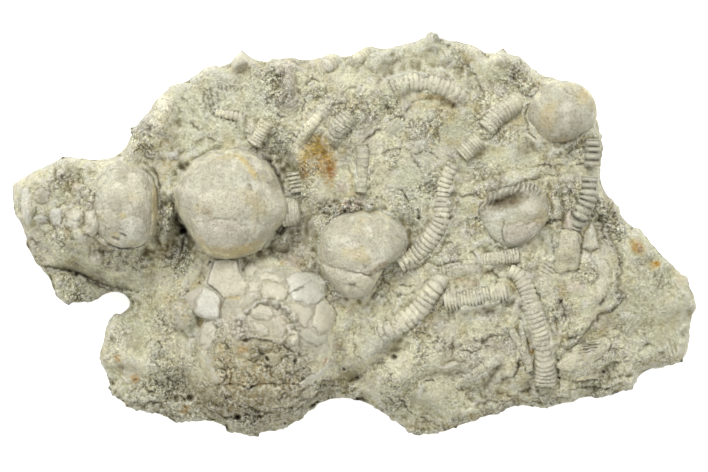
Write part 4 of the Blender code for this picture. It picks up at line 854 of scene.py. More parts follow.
def laid_on_shield(P, height, reach_around, sunk):
    """The face made flat under the big shield-shaped plate and so far around it, and sunk so far below it."""
    outline = PLATES[0][0]
    found = near_line(P, outline, SHIELD_REACH)
    Q = P[found]
    inward = depth_inside(Q, outline)
    flat = SHIELD_HEIGHT + SHIELD_SLOPE * (Q[:, 0] - SHIELD_PLACE[0])
    flat += SHIELD_SLOPE * (Q[:, 1] - SHIELD_PLACE[1])
    flat -= sunk * (1.0 - fade(inward, -1.0, 2.0))
    height[found] += (flat - height[found]) * (1.0 - fade(inward, -reach_around, 2.0))
    return height


def rise_to_mound(P, height):
    """The rock climbs smoothly onto the mound, and stays a little below it where the calyx shows."""
    top, r = mound_height(P)
    joined = MOUND_SOFTNESS * np.logaddexp(height / MOUND_SOFTNESS, top / MOUND_SOFTNESS)
    under = top - MOUND_COVER
    weight = fade(r, 0.86, 0.97)
    return joined * (1.0 - weight) + np.minimum(joined, under) * weight


# How far apart the outline's points are, in steps
OUTLINE_PITCH = 2.1


def outline_points():
    """The outline with a point about every half millimetre, made a little uneven."""
    loop = np.array(OUTLINE + OUTLINE[:1], dtype=float)
    run = np.concatenate([[0.0], np.cumsum(np.linalg.norm(np.diff(loop, axis=0), axis=1))])
    marks = np.arange(0.0, run[-1], OUTLINE_PITCH)
    points = np.column_stack([np.interp(marks, run, loop[:, k]) for k in (0, 1)])
    return shifted(points, (1.2 + 1.2 * southness(points))[:, None], 6.0, (41.0, 57.0))


def inside_outline(P, rim):
    """Whether each place is inside the closed line rim."""
    inside = np.zeros(len(P), dtype=bool)
    x, y = P[:, 0], P[:, 1]
    for (ax, ay), (bx, by) in zip(rim, np.roll(rim, -1, axis=0)):
        if ay == by:
            continue
        crosses = (y < ay) != (y < by)
        at = ax + (y - ay) * (bx - ax) / (by - ay)
        inside ^= crosses & (x < at)
    return inside


def depth_inside(P, outline):
    """How far each place is inside a closed outline, and less than 0 outside it."""
    gap = line_gap(P, outline + outline[:1])[0]
    return np.where(inside_outline(P, np.array(outline, dtype=float)), gap, -gap)


# How far apart the rows of a sheet's points are, and how much each point is moved, as shares of the pitch
ROW_SHARE = 0.87
JITTER = 0.18


def all_of(points):
    """Every point is used."""
    return np.ones(len(points), dtype=bool)


def sheet_mesh(rim, pitch, keep):
    """Points and triangles that fill the closed line rim evenly; keep says which inner points are used."""
    low, high = rim.min(axis=0), rim.max(axis=0)
    rows = np.arange(low[1], high[1], pitch * ROW_SHARE)
    points = []
    for number, y in enumerate(rows):
        x = np.arange(low[0] + (number % 2) * pitch / 2, high[0], pitch)
        points.append(np.column_stack([x, np.full(len(x), y)]))
    points = np.concatenate(points)
    points += np.random.default_rng(5).uniform(-JITTER, JITTER, points.shape) * pitch
    points = points[inside_outline(points, rim)]
    points = points[line_gap(points, rim[::3].tolist() + rim[:1].tolist())[0] > 0.55 * pitch + 0.5]
    points = points[keep(points)]
    both = np.concatenate([rim, points])
    made = geometry.delaunay_2d_cdt([Vector(p) for p in both], [], [list(range(len(rim)))], 1, 1e-7)
    return np.array([tuple(v) for v in made[0]]), [tuple(f) for f in made[2]]


def place(P, heights):
    """Sheet places and heights as millimetres on the plate."""
    return np.column_stack([P[:, 0] * STEP - SHEET_MIDDLE[0], SHEET_MIDDLE[1] - P[:, 1] * STEP, heights])


def on_sheet(co):
    """The sheet places of points on the plate."""
    return np.column_stack([(co[:, 0] + SHEET_MIDDLE[0]) / STEP, (SHEET_MIDDLE[1] - co[:, 1]) / STEP])


def facing_up(co, faces):
    """The triangles turned so that they face up."""
    tri = np.array(faces)
    a, b, c = (co[tri[:, k]] for k in range(3))
    up = np.cross(b - a, c - a)[:, 2] > 0
    tri[~up] = tri[~up][:, ::-1]
    return tri


# How close the points of the face and of the underside are, in steps, how many bands of faces the wall has,
# and over how many points each way its rim is evened out
TOP_PITCH = 1.53
LOW_PITCH = 5.2
WALL_RINGS = 13
SMOOTHING = 7


def evened(ring):
    """A closed run of values, each the mean of those around it."""
    shifts = range(-SMOOTHING, SMOOTHING + 1)
    return sum(np.roll(ring, shift, axis=0) for shift in shifts) / len(shifts)


def rock_shape():
    """The slab's finely meshed upper face, the narrow wall round it and its coarser underside."""
    rim = outline_points()
    count = len(rim)
    P, faces = sheet_mesh(rim, TOP_PITCH, shows_from_above)
    top = place(P, slab_heights(P))
    low_rim = evened(rim)
    top_edge = top[:count, 2]
    calm_edge = evened(top_edge)
    Q, low_faces = sheet_mesh(low_rim, LOW_PITCH, all_of)
    low = place(Q, underside_heights(Q))
    edge = np.roll(rim, -1, axis=0) - np.roll(rim, 1, axis=0)
    inward = np.column_stack([-edge[:, 1], edge[:, 0]])
    inward /= np.linalg.norm(inward, axis=1)[:, None]
    rings = []
    for share in np.arange(1, WALL_RINGS) / WALL_RINGS:
        calm = min(1.0, 5.0 * share)
        height = top_edge + (calm_edge - top_edge) * calm
        height += (low[:count, 2] - height) * share
        edge_line = rim + (low_rim - rim) * calm
        spots = np.column_stack([edge_line * STEP, height])
        depth = 0.45 + 1.1 * noise_at(spots, 6.5, 2, 83.0) + 0.6 * np.abs(noise_at(spots, 2.8, 3, 87.0))
        depth *= math.sin(math.pi * share) ** 0.6 / STEP
        height += 0.35 * noise_at(spots, 4.0, 2, 89.0)
        rings.append(place(edge_line + inward * depth[:, None], height))
    co = np.concatenate([top, *rings, low])
    faces = facing_up(top, faces).tolist()
    faces += (facing_up(low, low_faces)[:, ::-1] + len(top) + len(rings) * count).tolist()
    starts = [0] + [len(top) + number * count for number in range(len(rings) + 1)]
    for first, second in zip(starts, starts[1:]):
        one = np.arange(count) + first
        other = np.arange(count) + second
        after_one, after_other = np.roll(one, -1), np.roll(other, -1)
        faces += np.column_stack([one, after_one, after_other]).tolist()
        faces += np.column_stack([one, after_other, other]).tolist()
    return co, faces


# What hides the rock: x, y, half length and half width
HIDDEN = [(228, 204, 55, 55), (124, 205, 32, 40), (361, 253, 40, 40), (562, 112, 34, 32), MOUND]

# The share of the hidden points that is kept
HIDDEN_SHARE = 0.08


def shows_from_above(points):
    """Drops most of the points that lie deep under a calyx, and some where the rock is smooth."""
    hidden = np.zeros(len(points), dtype=bool)
    for x, y, half_length, half_width in HIDDEN:
        hidden |= oval(points, x, y, half_length, half_width, 0) < 0.8
    chance = np.random.default_rng(9).uniform(0.0, 1.0, len(points))
    wanted = np.clip(0.35 + 0.62 * zoned(points, ROUGH_ZONES, USUAL_ROUGH), 0.5, 1.0)
    wanted = np.where(hidden, HIDDEN_SHARE, wanted)
    return chance < wanted


# Putting a piece in the scene

def mesh_of(name, co, faces):
    """A smooth mesh from points in millimetres and their faces, with its outside facing out."""
    mesh = bpy.data.meshes.new(name)
    mesh.from_pydata((co * MM).tolist(), [], [tuple(f) for f in faces])
    shape = bmesh.new()
    shape.from_mesh(mesh)
    bmesh.ops.recalc_face_normals(shape, faces=shape.faces)
    shape.to_mesh(mesh)
    shape.free()
    mesh.shade_smooth()
    return mesh


def vectors(collection, name, kind, width):
    """One property of all of a mesh's points or edges, as rows of so many numbers."""
    values = np.empty(len(collection) * width, dtype=kind)
    collection.foreach_get(name, values)
    return values.reshape(-1, width)


def hollowness(mesh, co, normals, rounds):
    """How far each point lies below the mean of what is around it, in millimetres."""
    edges = vectors(mesh.edges, "vertices", np.int32, 2)
    count = np.bincount(edges.ravel(), minlength=len(co)).astype(float)
    count = np.maximum(count, 1.0)
    mean = co.copy()
    for _ in range(rounds):
        total = np.zeros_like(mean)
        for axis in range(3):
            total[:, axis] = (np.bincount(edges[:, 0], mean[edges[:, 1], axis], len(co))
                              + np.bincount(edges[:, 1], mean[edges[:, 0], axis], len(co)))
        mean = 0.3 * mean + 0.7 * total / count[:, None]
    return ((mean - co) * normals).sum(axis=1)


def mixed(colour, other, weight):
    """The colours with so much of a named colour mixed in."""
    return colour + (linear(other) - colour) * weight[:, None]


# What is mixed into each kind of surface in uneven patches: colour, span in millimetres, seed, share, gain
# and most
MOTTLES = {
    "rock": [
        ("green", 9.0, 101, .25, .9, .65), ("pinkgrey", 5.0, 113, -.05, 1.3, .6),
        ("cream", 3.2, 117, -.1, 1.3, .6), ("white", 2.4, 119, -.35, 1.8, .55),
        ("ochre", 5.0, 121, -.35, 1.6, .42), ("shade", 1.5, 125, -.35, 1.5, .4),
    ],
    "calyx": [
        ("chalk", 3.4, 123, -.05, 1.6, .7), ("grey", 4.5, 127, -.05, 1.3, .5),
        ("ochre", 7.0, 129, -.25, .9, .3), ("shade", 1.6, 131, -.4, 1.4, .35),
    ],
    "stem": [
        ("cream", 3.0, 137, 0, 1.1, .5), ("rock", 4.0, 139, .1, 1.6, .8),
        ("pinkgrey", 5.0, 141, -.1, 1.0, .4),
    ],
}


def mottled(co, kind):
    """The uneven colours of one kind of surface."""
    colour = np.tile(linear(kind), (len(co), 1))
    for name, span, seed, base, gain, most in MOTTLES[kind]:
        colour = mixed(colour, name, np.clip(base + gain * noise_at(co, span, 3, seed), 0.0, most))
    return colour


# Over how many rounds small and wide hollows are found, and the most dirt and painted shade in small hollows
# of rock and of fossils
FINE_ROUNDS = 2
WIDE_ROUNDS = 14
ROCK_HOLLOW_DIRT_AND_SHADE = 0.62
FOSSIL_HOLLOW_DIRT_AND_SHADE = 0.45


def painted(mesh, co, kind, marks, tint, coats, rock_share):
    """The colour at each point: the kind's own, tones, stains, dirt and painted shade in the hollows, painted
    shade on the rock's edges that face away from the lamp, painted highlights on rises, and dark cracks.
    """
    normals = vectors(mesh.vertices, "normal", np.float32, 3)
    P = on_sheet(co)
    W = wobble(P)
    U = bent(P)
    up = np.clip(normals[:, 2] * 1.6 + 0.3, 0.0, 1.0)
    colour = mottled(co, kind)
    if rock_share is not None:
        colour += (mottled(co, "rock") - colour) * rock_share[:, None]
    for name, weight in coats:
        colour = mixed(colour, name, weight * up)
    if kind == "rock":
        for x, y, half_length, half_width, turn, name, strength in TONES:
            weight = fade(oval(P, x, y, half_length, half_width, turn), 0.4, 1.3)
            colour = mixed(colour, name, strength * weight * up)
        for x, y, half_length, half_width, turn, _, name in BEADS:
            weight = fade(oval(U, x, y, half_length, half_width, turn), 0.5, 1.15)
            colour = mixed(colour, name, 0.5 * weight * up)
    broken = 0.5 + 1.2 * noise_at(P, 3.4, 3, 131.0)
    for x, y, half_length, half_width, turn, name, strength, break_up in STAINS:
        found = near(P, (x - 90, y - 60), (x + 90, y + 60))
        weight = fade(oval(W[found], x, y, half_length, half_width, turn), 0.3, 1.15)
        weight *= 1.0 - break_up + break_up * np.clip(2.2 * broken[found] - 0.6, 0.0, 1.0)
        colour[found] = mixed(colour[found], name, strength * weight * up[found])
    # Small and wide hollows are darkened with the dirt colour, which is dirt and painted shade
    fine = hollowness(mesh, co, normals, FINE_ROUNDS)
    wide = hollowness(mesh, co, normals, WIDE_ROUNDS)
    most = ROCK_HOLLOW_DIRT_AND_SHADE if kind == "rock" else FOSSIL_HOLLOW_DIRT_AND_SHADE
    fine *= 0.3 + 0.7 * up
    dirt_and_shade = np.clip(4.2 * fine, 0.0, most) + np.clip(0.14 * wide, 0.0, 0.14)
    if kind == "rock":
        # Painted shade: the rock's edges that face the sheet's lower side, away from the lamp, are darkened
        shaded = np.clip(-1.3 * normals[:, 1] - 0.15, 0.0, 1.0) * np.clip((co[:, 2] - 3.0) / 7.0, 0.0, 1.0)
        dirt_and_shade += 0.36 * shaded * fade(distance_inside(P) * STEP, 0.4, 3.2)
    colour = mixed(colour, "dirt_and_shade", np.clip(dirt_and_shade, 0.0, 0.75))
    # Painted highlight: small and wide rises are lightened with white
    rise_highlight = np.clip(-2.6 * fine, 0.0, 0.34) + np.clip(-0.2 * wide, 0.0, 0.12)
    colour = mixed(colour, "white", rise_highlight)
    M = U if kind == "rock" else W
    for half, _, dark, line in marks:
        found = near_line(M, line, 3 * half)
        gap = line_gap(M[found], line)[0]
        weight = 0.85 * dark * broken_line(M[found], half) * np.exp(-((gap / (0.55 * half)) ** 2)) * up[found]
        colour[found] = mixed(colour[found], "dark", weight)
    if kind == "rock":
        for x, y, radius, _, dark in HOLES:
            found = around(P, x, y, HOLE_BOX * radius)
            weight = dark * fade(oval(W[found], x, y, radius, radius, 0), 0.3, 1.1) * up[found]
            colour[found] = mixed(colour[found], "dark", weight)
    colour *= (1.0 + 0.05 * noise_at(co, 3.0, 3, 163.0))[:, None]
    return np.clip(colour * tint[:, None], 0.0, 1.0)


# Each surface's grain: how strong its colour grain is, its bump in millimetres, its lowest and highest
# roughness
GRAIN = {
    "rock": (0.32, 0.32, 0.82, 0.98), "calyx": (0.14, 0.11, 0.62, 0.86), "stem": (0.15, 0.12, 0.75, 0.94),
}


def add_piece(name, co, faces, kind, nodes, rough, marks=(), tint=None, coats=(), rock_share=None):
    """One piece of the fossil plate, with its colours, that stands for the given solids."""
    mesh = mesh_of(name, co, faces)
    tint = np.ones(len(co)) if tint is None else tint
    colour = painted(mesh, co, kind, marks, tint, coats, rock_share)
    layer = mesh.color_attributes.new("paint", "FLOAT_COLOR", "POINT")
    layer.data.foreach_set("color", np.column_stack([colour, np.ones(len(colour))]).ravel())
    layer = mesh.attributes.new("rough", "FLOAT", "POINT")
    layer.data.foreach_set("value", rough)
    mesh.materials.append(surface(kind))
    obj = bpy.data.objects.new(name, mesh)
    bpy.context.scene.collection.objects.link(obj)
    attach(obj, "root")
    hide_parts(*nodes)


def add_node(tree, kind, **inputs):
    """A node of the material, with plain values for some of its inputs."""
    node = tree.nodes.new(kind)
    for name, value in inputs.items():
        node.inputs[name].default_value = value
    return node


def add_noise(tree, where, **inputs):
    """A noise texture that reads the given place."""
    node = add_node(tree, "ShaderNodeTexNoise", **inputs)
    tree.links.new(where, node.inputs["Vector"])
    return node


def add_attribute(tree, name):
    """A node that reads one of the values that a mesh has at each point."""
    node = tree.nodes.new("ShaderNodeAttribute")
    node.attribute_name = name
    return node


def ranged(tree, source, *ends):
    """A number moved from one range to another, and held inside it; ends are the two ranges' four ends."""
    node = tree.nodes.new("ShaderNodeMapRange")
    for name, value in zip(("From Min", "From Max", "To Min", "To Max"), ends):
        node.inputs[name].default_value = value
    tree.links.new(source, node.inputs["Value"])
    return node.outputs["Result"]


def maths(tree, kind, first, second):
    """Two numbers put together; the second may be a plain value."""
    node = tree.nodes.new("ShaderNodeMath")
    node.operation = kind
    tree.links.new(first, node.inputs[0])
    if isinstance(second, float):
        node.inputs[1].default_value = second
    else:
        tree.links.new(second, node.inputs[1])
    return node.outputs["Value"]


def surface(kind):
    """The material of one kind of surface, made once: its paint, grain, dark flecks, roughness and bump."""
    found = bpy.data.materials.get(kind)
    if found:
        return found
    grain, bump_height, low_rough, high_rough = GRAIN[kind]
    made = bpy.data.materials.new(kind)
    made.use_nodes = True
    tree = made.node_tree
    link = tree.links.new
    shader = tree.nodes["Principled BSDF"]
    shader.inputs["Specular IOR Level"].default_value = 0.25
    spot = tree.nodes.new("ShaderNodeTexCoord")
    scale = tree.nodes.new("ShaderNodeMapping")
    scale.inputs["Scale"].default_value = (1.0 / MM, 1.0 / MM, 1.0 / MM)
    link(spot.outputs["Object"], scale.inputs["Vector"])
    where = scale.outputs["Vector"]
    paint = add_attribute(tree, "paint").outputs["Color"]
    rough = add_attribute(tree, "rough").outputs["Fac"]
    fine = add_noise(tree, where, Scale=1.7, Detail=5.0, Roughness=0.7)
    broad = add_noise(tree, where, Scale=0.35, Detail=3.0, Roughness=0.6)
    specks = add_noise(tree, where, Scale=1.5, Detail=3.0, Roughness=0.6, Distortion=0.6)
    bend = add_noise(tree, where, Scale=0.8, Detail=2.0, Roughness=0.6)
    bent_place = tree.nodes.new("ShaderNodeVectorMath")
    bent_place.operation = "MULTIPLY_ADD"
    bent_place.inputs[1].default_value = (2.4, 2.4, 2.4)
    link(bend.outputs["Color"], bent_place.inputs[0])
    link(where, bent_place.inputs[2])
    lumps = add_node(tree, "ShaderNodeTexVoronoi", Scale=0.8, Randomness=1.0)
    lumps.feature = "DISTANCE_TO_EDGE"
    link(bent_place.outputs["Vector"], lumps.inputs["Vector"])
    crease = ranged(tree, lumps.outputs["Distance"], 0.015, 0.11, 1.0, 0.0)
    dashes = add_noise(tree, where, Scale=0.9, Detail=1.0, Roughness=0.5)
    crease = maths(tree, "MULTIPLY", crease, ranged(tree, dashes.outputs["Fac"], 0.50, 0.60, 0.0, 1.0))
    fleck = ranged(tree, specks.outputs["Fac"], 0.59, 0.66, 0.0, 1.0)
    marks = maths(tree, "MULTIPLY", maths(tree, "MAXIMUM", crease, fleck), rough)
    pale = maths(tree, "MULTIPLY", ranged(tree, specks.outputs["Fac"], 0.44, 0.34, 0.0, 1.0), rough)
    shade = ranged(tree, fine.outputs["Fac"], 0.3, 0.7, 1.0 - grain, 1.0 + grain * 0.6)
    shade = maths(tree, "MULTIPLY", shade, ranged(tree, pale, 0.0, 1.0, 1.0, 1.18))
    grit = add_noise(tree, where, Scale=2.3, Detail=2.0, Roughness=0.65, Distortion=1.1)
    grit = maths(tree, "MULTIPLY", ranged(tree, grit.outputs["Fac"], 0.3, 0.7, -0.40, 0.26), rough)
    shade = maths(tree, "MULTIPLY", shade, maths(tree, "ADD", grit, 1.0))
    darker = tree.nodes.new("ShaderNodeMix")
    darker.data_type = "RGBA"
    link(ranged(tree, marks, 0.0, 1.7, 0.0, 0.85), darker.inputs[0])
    link(paint, darker.inputs[6])
    darker.inputs[7].default_value = (*linear("dark"), 1.0)
    tint = tree.nodes.new("ShaderNodeMix")
    tint.data_type = "RGBA"
    tint.blend_type = "MULTIPLY"
    tint.inputs[0].default_value = 1.0
    link(darker.outputs[2], tint.inputs[6])
    link(shade, tint.inputs[7])
    link(tint.outputs[2], shader.inputs["Base Color"])
    link(ranged(tree, broad.outputs["Fac"], 0.3, 0.7, low_rough, high_rough), shader.inputs["Roughness"])
    lump_tops = maths(tree, "MULTIPLY", ranged(tree, lumps.outputs["Distance"], 0.0, 0.22, 0.0, 0.35), rough)
    heights = maths(tree, "ADD", fine.outputs["Fac"], lump_tops)
    heights = maths(tree, "SUBTRACT", heights, maths(tree, "MULTIPLY", fleck, 0.25))
    bump = add_node(tree, "ShaderNodeBump", Strength=0.9, Distance=bump_height * MM * 4)
    link(heights, bump.inputs["Height"])
    link(bump.outputs["Normal"], shader.inputs["Normal"])
    return made


# Stems

# Each stem: the name of its node, its middle line in millimetres with its width, the rib spacing, how deep
# the grooves are as a share of the radius, its rise above the rock, and how worn it is
STEMS = [
    ("large_calyx_stem", [(70.8, 53.1, 7.2), (72.8, 53.0, 6.9), (74.1, 52.9, 6.0), (74.9, 52.8, 4.2)],
     0.85, 0.06, 4.3, .3),
    ("middle_calyx_stem",
     [(99.6, 66.1, 4.75), (103.75, 63.75, 4.75), (106.5, 61, 4.75), (108.75, 58, 4.6), (110.25, 55.25, 4.4),
      (110.5, 51, 3.8), (110.9, 47.25, 3.4), (112, 43.75, 3.4), (113.3, 41, 3.4)], 1.25, 0.17, 0.9, .1),
    ("diagonal_stem_lower", [(115.3, 38.9, 4.2), (119.8, 34.8, 4.3)], 0.8, 0.11, 0.9, .3),
    ("diagonal_stem_upper", [(121.4, 32.2, 4.7), (124.25, 29, 4.8), (128.75, 25.75, 4.8), (131.1, 23.8, 4.4)],
     1.0, 0.13, 0.9, .3),
    ("arched_top_stem",
     [(97.2, 22.1, 4), (100, 21, 4.4), (103.75, 20.5, 4.5), (107.5, 20.75, 4.5), (111.25, 22, 4.5),
      (114.5, 23.75, 4.3), (117, 25.75, 4)], 1.25, 0.12, 0.8, .45),
    ("lower_arc_stem",
     [(94, 83.4, 4.2), (98.75, 81.75, 4.6), (102, 79.5, 5), (105, 77, 5), (107.25, 73.75, 4.9),
      (109.25, 71.25, 4.7), (111, 68.6, 4.3)], 1.5, 0.15, 1.0, .25),
    ("short_level_stem", [(120, 65.25, 3.6), (129.6, 63.75, 3.8)], 0.75, 0.13, 1.0, .15),
    ("long_level_stem", [(111.2, 75.6, 4.6), (118.75, 74.4, 5), (126.4, 72.7, 4.8)], 0.80, 0.14, 1.0, .55),
    ("long_upright_stem",
     [(127.2, 67.6, 3.4), (129.2, 68.6, 3.8), (130.6, 70.4, 4.2), (131.7, 72.8, 4.6), (132.3, 75.5, 4.7),
      (133.25, 78.25, 4.7), (134.25, 81.25, 4.5), (135.25, 84, 4.3), (135.75, 87, 4.4), (136, 89.75, 4.9),
      (136.25, 92.75, 5.6), (136.25, 96.3, 5.6)], 1.17, 0.13, 1.3, .15),
    ("right_edge_stem_upper", [(148.2, 34.8, 3.9), (148, 41.6, 4.3)], 1.6, 0.24, 1.1, .15),
    ("right_edge_stem_lower", [(147.4, 44.2, 4.3), (146.9, 49.6, 4.5), (145.2, 53.6, 4.4), (143.6, 57.4, 4)],
     1.6, 0.24, 1.2, .15),
    ("stem_beside_large_calyx", [(73.3, 43, 4), (74.2, 48.2, 4.1)], 1.0, 0.20, 0.8, .1),
    ("stem_above_large_calyx", [(63.4, 36, 3.8), (66.75, 30.5, 3.6)], 0.8, 0.11, 0.7, .45),
    ("wide_stem", [(82.75, 35.5, 4.7), (85, 31.75, 4.8), (87.25, 28.75, 4.6)], 0.95, 0.12, 0.7, .5),
    ("faint_diagonal_stem", [(74, 36.6, 2.8), (79, 29.5, 3), (83.6, 22.7, 3)], 1.25, 0.09, 0.1, .8),
    ("top_edge_stem_left", [(79.5, 18, 3.7), (84.6, 14.9, 3.6)], 0.9, 0.12, 0.4, .4),
    ("top_edge_stem_right", [(87.2, 16.3, 3), (92.6, 12.8, 3)], 0.6, 0.08, 0.2, .6),
    ("middle_upright_stem", [(90.75, 37, 3.2), (90.5, 43.75, 3.3), (90.2, 48.2, 3.1)], 1.3, 0.07, 0.6, .8),
    ("small_ribbed_stem", [(54, 28, 2.3), (62, 29.7, 2.1)], 0.93, 0.16, 0.4, .4),
    ("worn_stem_upper_left", [(42.4, 24.6, 4.6), (40, 29.5, 5), (38, 33.75, 4.6)], 2.0, 0.05, 0.6, 1.0),
    ("worn_stem_lower_centre", [(115, 95.6, 2.6), (120, 92.5, 3.1), (125, 88.75, 3)], 2.0, 0.06, 0.5, 1.0),
    ("worn_stem_lower_right", [(141.75, 94.25, 2.6), (150.5, 93.4, 2.4)], 2.2, 0.05, 0.5, 1.0),
]

# The stems whose grooves aren't as usual: how dark the painted shade in their grooves is, and half of a
# groove's width as a share of a rib
SHADED_GROOVES = {
    "right_edge_stem_upper": (0.66, 0.20), "right_edge_stem_lower": (0.66, 0.20),
    "stem_beside_large_calyx": (0.50, 0.20), "middle_calyx_stem": (0.26, 0.13),
    "lower_arc_stem": (0.20, 0.13), "large_calyx_stem": (0.16, 0.14),
    "long_upright_stem": (0.16, 0.14), "short_level_stem": (0.26, 0.14), "long_level_stem": (0.06, 0.12),
}

# The same two values for all the other stems
USUAL_SHADED_GROOVE = (0.18, 0.12)

# The stems whose side facing the sheet's lower edge is painted darker at each groove, a comb of painted
# shade, and how dark it is
LOWER_FLANK_SHADES = {"long_level_stem": 1.5}

# How light each stem is beside the others
STEM_TINTS = {
    "diagonal_stem_lower": 0.82, "wide_stem": 0.79, "middle_upright_stem": 0.71,
    "right_edge_stem_upper": 0.66, "right_edge_stem_lower": 0.7, "long_level_stem": 0.88,
    "long_upright_stem": 0.87, "worn_stem_lower_centre": 0.84, "middle_calyx_stem": 0.93,
    "top_edge_stem_right": 0.88, "arched_top_stem": 0.91, "short_level_stem": 0.92,
    "worn_stem_lower_right": 1.1, "diagonal_stem_upper": 0.86, "large_calyx_stem": 0.88,
    "stem_above_large_calyx": 1.0, "faint_diagonal_stem": 1.0, "worn_stem_upper_left": 1.15,
}
USUAL_STEM_TINT = 0.95

# How many points there are between two given points of a stem's line
PATH_STEPS = 24

# Where a rib's rings are, as shares of its length, how many points a ring has, and how narrow a bar's end
# rings are
RIB_PHASES = (0.0, 0.09, 0.2, 0.4, 0.6, 0.8, 0.91)
AROUND = 28
END_SHARE = 0.86


def smooth_path(points):
    """A close run of points along a smooth curve through the given points, and how far along each one is."""
    knots = [np.array(p, dtype=float) for p in points]
    knots = [2 * knots[0] - knots[1], *knots, 2 * knots[-1] - knots[-2]]
    fine = []
    for a, b, c, d in zip(knots, knots[1:], knots[2:], knots[3:]):
        for t in np.linspace(0.0, 1.0, PATH_STEPS, endpoint=False):
            fine.append(0.5 * (2 * b + (c - a) * t + (2 * a - 5 * b + 4 * c - d) * t**2
                               + (3 * b - a - 3 * c + d) * t**3))
    fine.append(knots[-2])
    fine = np.array(fine)
    run = np.concatenate([[0.0], np.cumsum(np.linalg.norm(np.diff(fine[:, :2], axis=0), axis=1))])
    return fine, run


def stem_line(name, points, rise):
    """A stem's middle line on the plate in millimetres, its width, and how far along each point is."""
    fine, run = smooth_path(points)
    heights = plain_ground(fine[:, :2] / STEP)
    weight = np.exp(-(((run[:, None] - run[None, :]) / SETTLE) ** 2))
    heights = weight @ heights / weight.sum(axis=1) + rise
    start_shows, end_shows = SHOWN_ENDS.get(name, (False, False))
    to_end = np.minimum(run + DIVE * start_shows, run[-1] - run + DIVE * end_shows)
    heights -= 0.5 * fine[:, 2] * fade(to_end, 0.0, DIVE)
    middle = np.column_stack([fine[:, 0] - SHEET_MIDDLE[0], SHEET_MIDDLE[1] - fine[:, 1], heights])
    return middle, fine[:, 2], run


def rib_marks(length, spacing, rng):
    """How far along each ring of a ribbed stem is, its place in its rib, and the rib's number."""
    count = max(2, round(length / spacing))
    moved = np.concatenate([[0], rng.uniform(-0.12, 0.12, count - 1), [0]])
    ends = (np.arange(count + 1) + moved) * length / count
    marks, phases, ribs = [], [], []
    for rib in range(count):
        for phase in RIB_PHASES:
            marks.append(ends[rib] + phase * (ends[rib + 1] - ends[rib]))
            phases.append(phase)
            ribs.append(rib)
    return np.array(marks + [length]), np.array(phases + [0.0]), np.array(ribs + [count - 1])


def ribbed_bar(name, points, spacing, groove, rise, worn, seed):
    """The points, faces and tint of a closed ribbed stem, in millimetres on the plate; the tint holds painted
    shade in its grooves.
    """
    rng = np.random.default_rng(seed)
    middle, width, run = stem_line(name, points, rise)
    groove_shade, groove_wide = SHADED_GROOVES.get(name, USUAL_SHADED_GROOVE)
    marks, phases, ribs = rib_marks(run[-1], spacing, rng)
    centre = np.column_stack([np.interp(marks, run, middle[:, k]) for k in range(3)])
    radius = np.interp(marks, run, width) / 2
    away = np.minimum(phases, 1.0 - phases)
    per_rib = rng.normal(0.0, 1.0, ribs.max() + 1)
    cut = groove * (1.0 - 0.4 * worn) * np.exp(-((away / (groove_wide + 0.03)) ** 2))
    shown_groove = np.minimum(np.arange(len(marks)), np.arange(len(marks))[::-1]) > 1
    cut = np.where(shown_groove, cut, 0.0)
    radius[0] *= END_SHARE
    radius[-1] *= END_SHARE
    along = np.gradient(centre, axis=0)
    along /= np.maximum(np.linalg.norm(along, axis=1), 1e-9)[:, None]
    side = np.cross(along, (0.0, 0.0, 1.0))
    side /= np.linalg.norm(side, axis=1)[:, None]
    over = np.cross(side, along)
    turn = np.linspace(0.0, 2 * math.pi, AROUND, endpoint=False)
    ring = side[:, None, :] * np.cos(turn)[None, :, None] + over[:, None, :] * np.sin(turn)[None, :, None]
    round_bar = (centre[:, None, :] + ring * radius[:, None, None]).reshape(-1, 3)
    open_share = np.clip(0.95 + 0.9 * noise_at(round_bar, 3.2, 3, 240.0 + seed), 0.15, 1.25)
    far = np.repeat(radius, AROUND)
    push = far * (0.015 * np.repeat(per_rib[ribs], AROUND) - open_share * np.repeat(cut, AROUND))
    push += (0.05 + 0.14 * worn) * noise_at(round_bar, 2.2, 3, 200.0 + seed)
    out = ring.reshape(-1, 3)
    co = round_bar + out * push[:, None]
    tint = 1.0 + 0.03 * np.repeat(per_rib[ribs], AROUND)
    # Painted shade: the grooves between the ribs are painted darker
    tint -= groove_shade * open_share * np.repeat(shown_groove * np.exp(-((away / groove_wide) ** 2)), AROUND)
    # Painted shade: on some stems the side facing the sheet's lower edge is painted darker at each groove
    lower_flank_shade = np.clip(-ring[:, :, 1].ravel() - 0.3, 0.0, 0.6) * LOWER_FLANK_SHADES.get(name, 0.0)
    tint -= lower_flank_shade * np.repeat(np.exp(-((away / 0.22) ** 2)), AROUND)
    rows = len(marks)
    faces = []
    for row in range(rows - 1):
        for k in range(AROUND):
            a, b = row * AROUND + k, row * AROUND + (k + 1) % AROUND
            faces.append((a, b, b + AROUND, a + AROUND))
    return close_ends(co, faces, tint, centre, rows)


def close_ends(co, faces, tint, centre, rows):
    """Fans over both ends of a bar."""
    first, last = len(co), len(co) + 1
    co = np.concatenate([co, centre[:1], centre[-1:]])
    base = (rows - 1) * AROUND
    for k in range(AROUND):
        faces.append((first, (k + 1) % AROUND, k))
        faces.append((last, base + k, base + (k + 1) % AROUND))
    return co, faces, np.concatenate([tint, tint[:1], tint[-1:]])


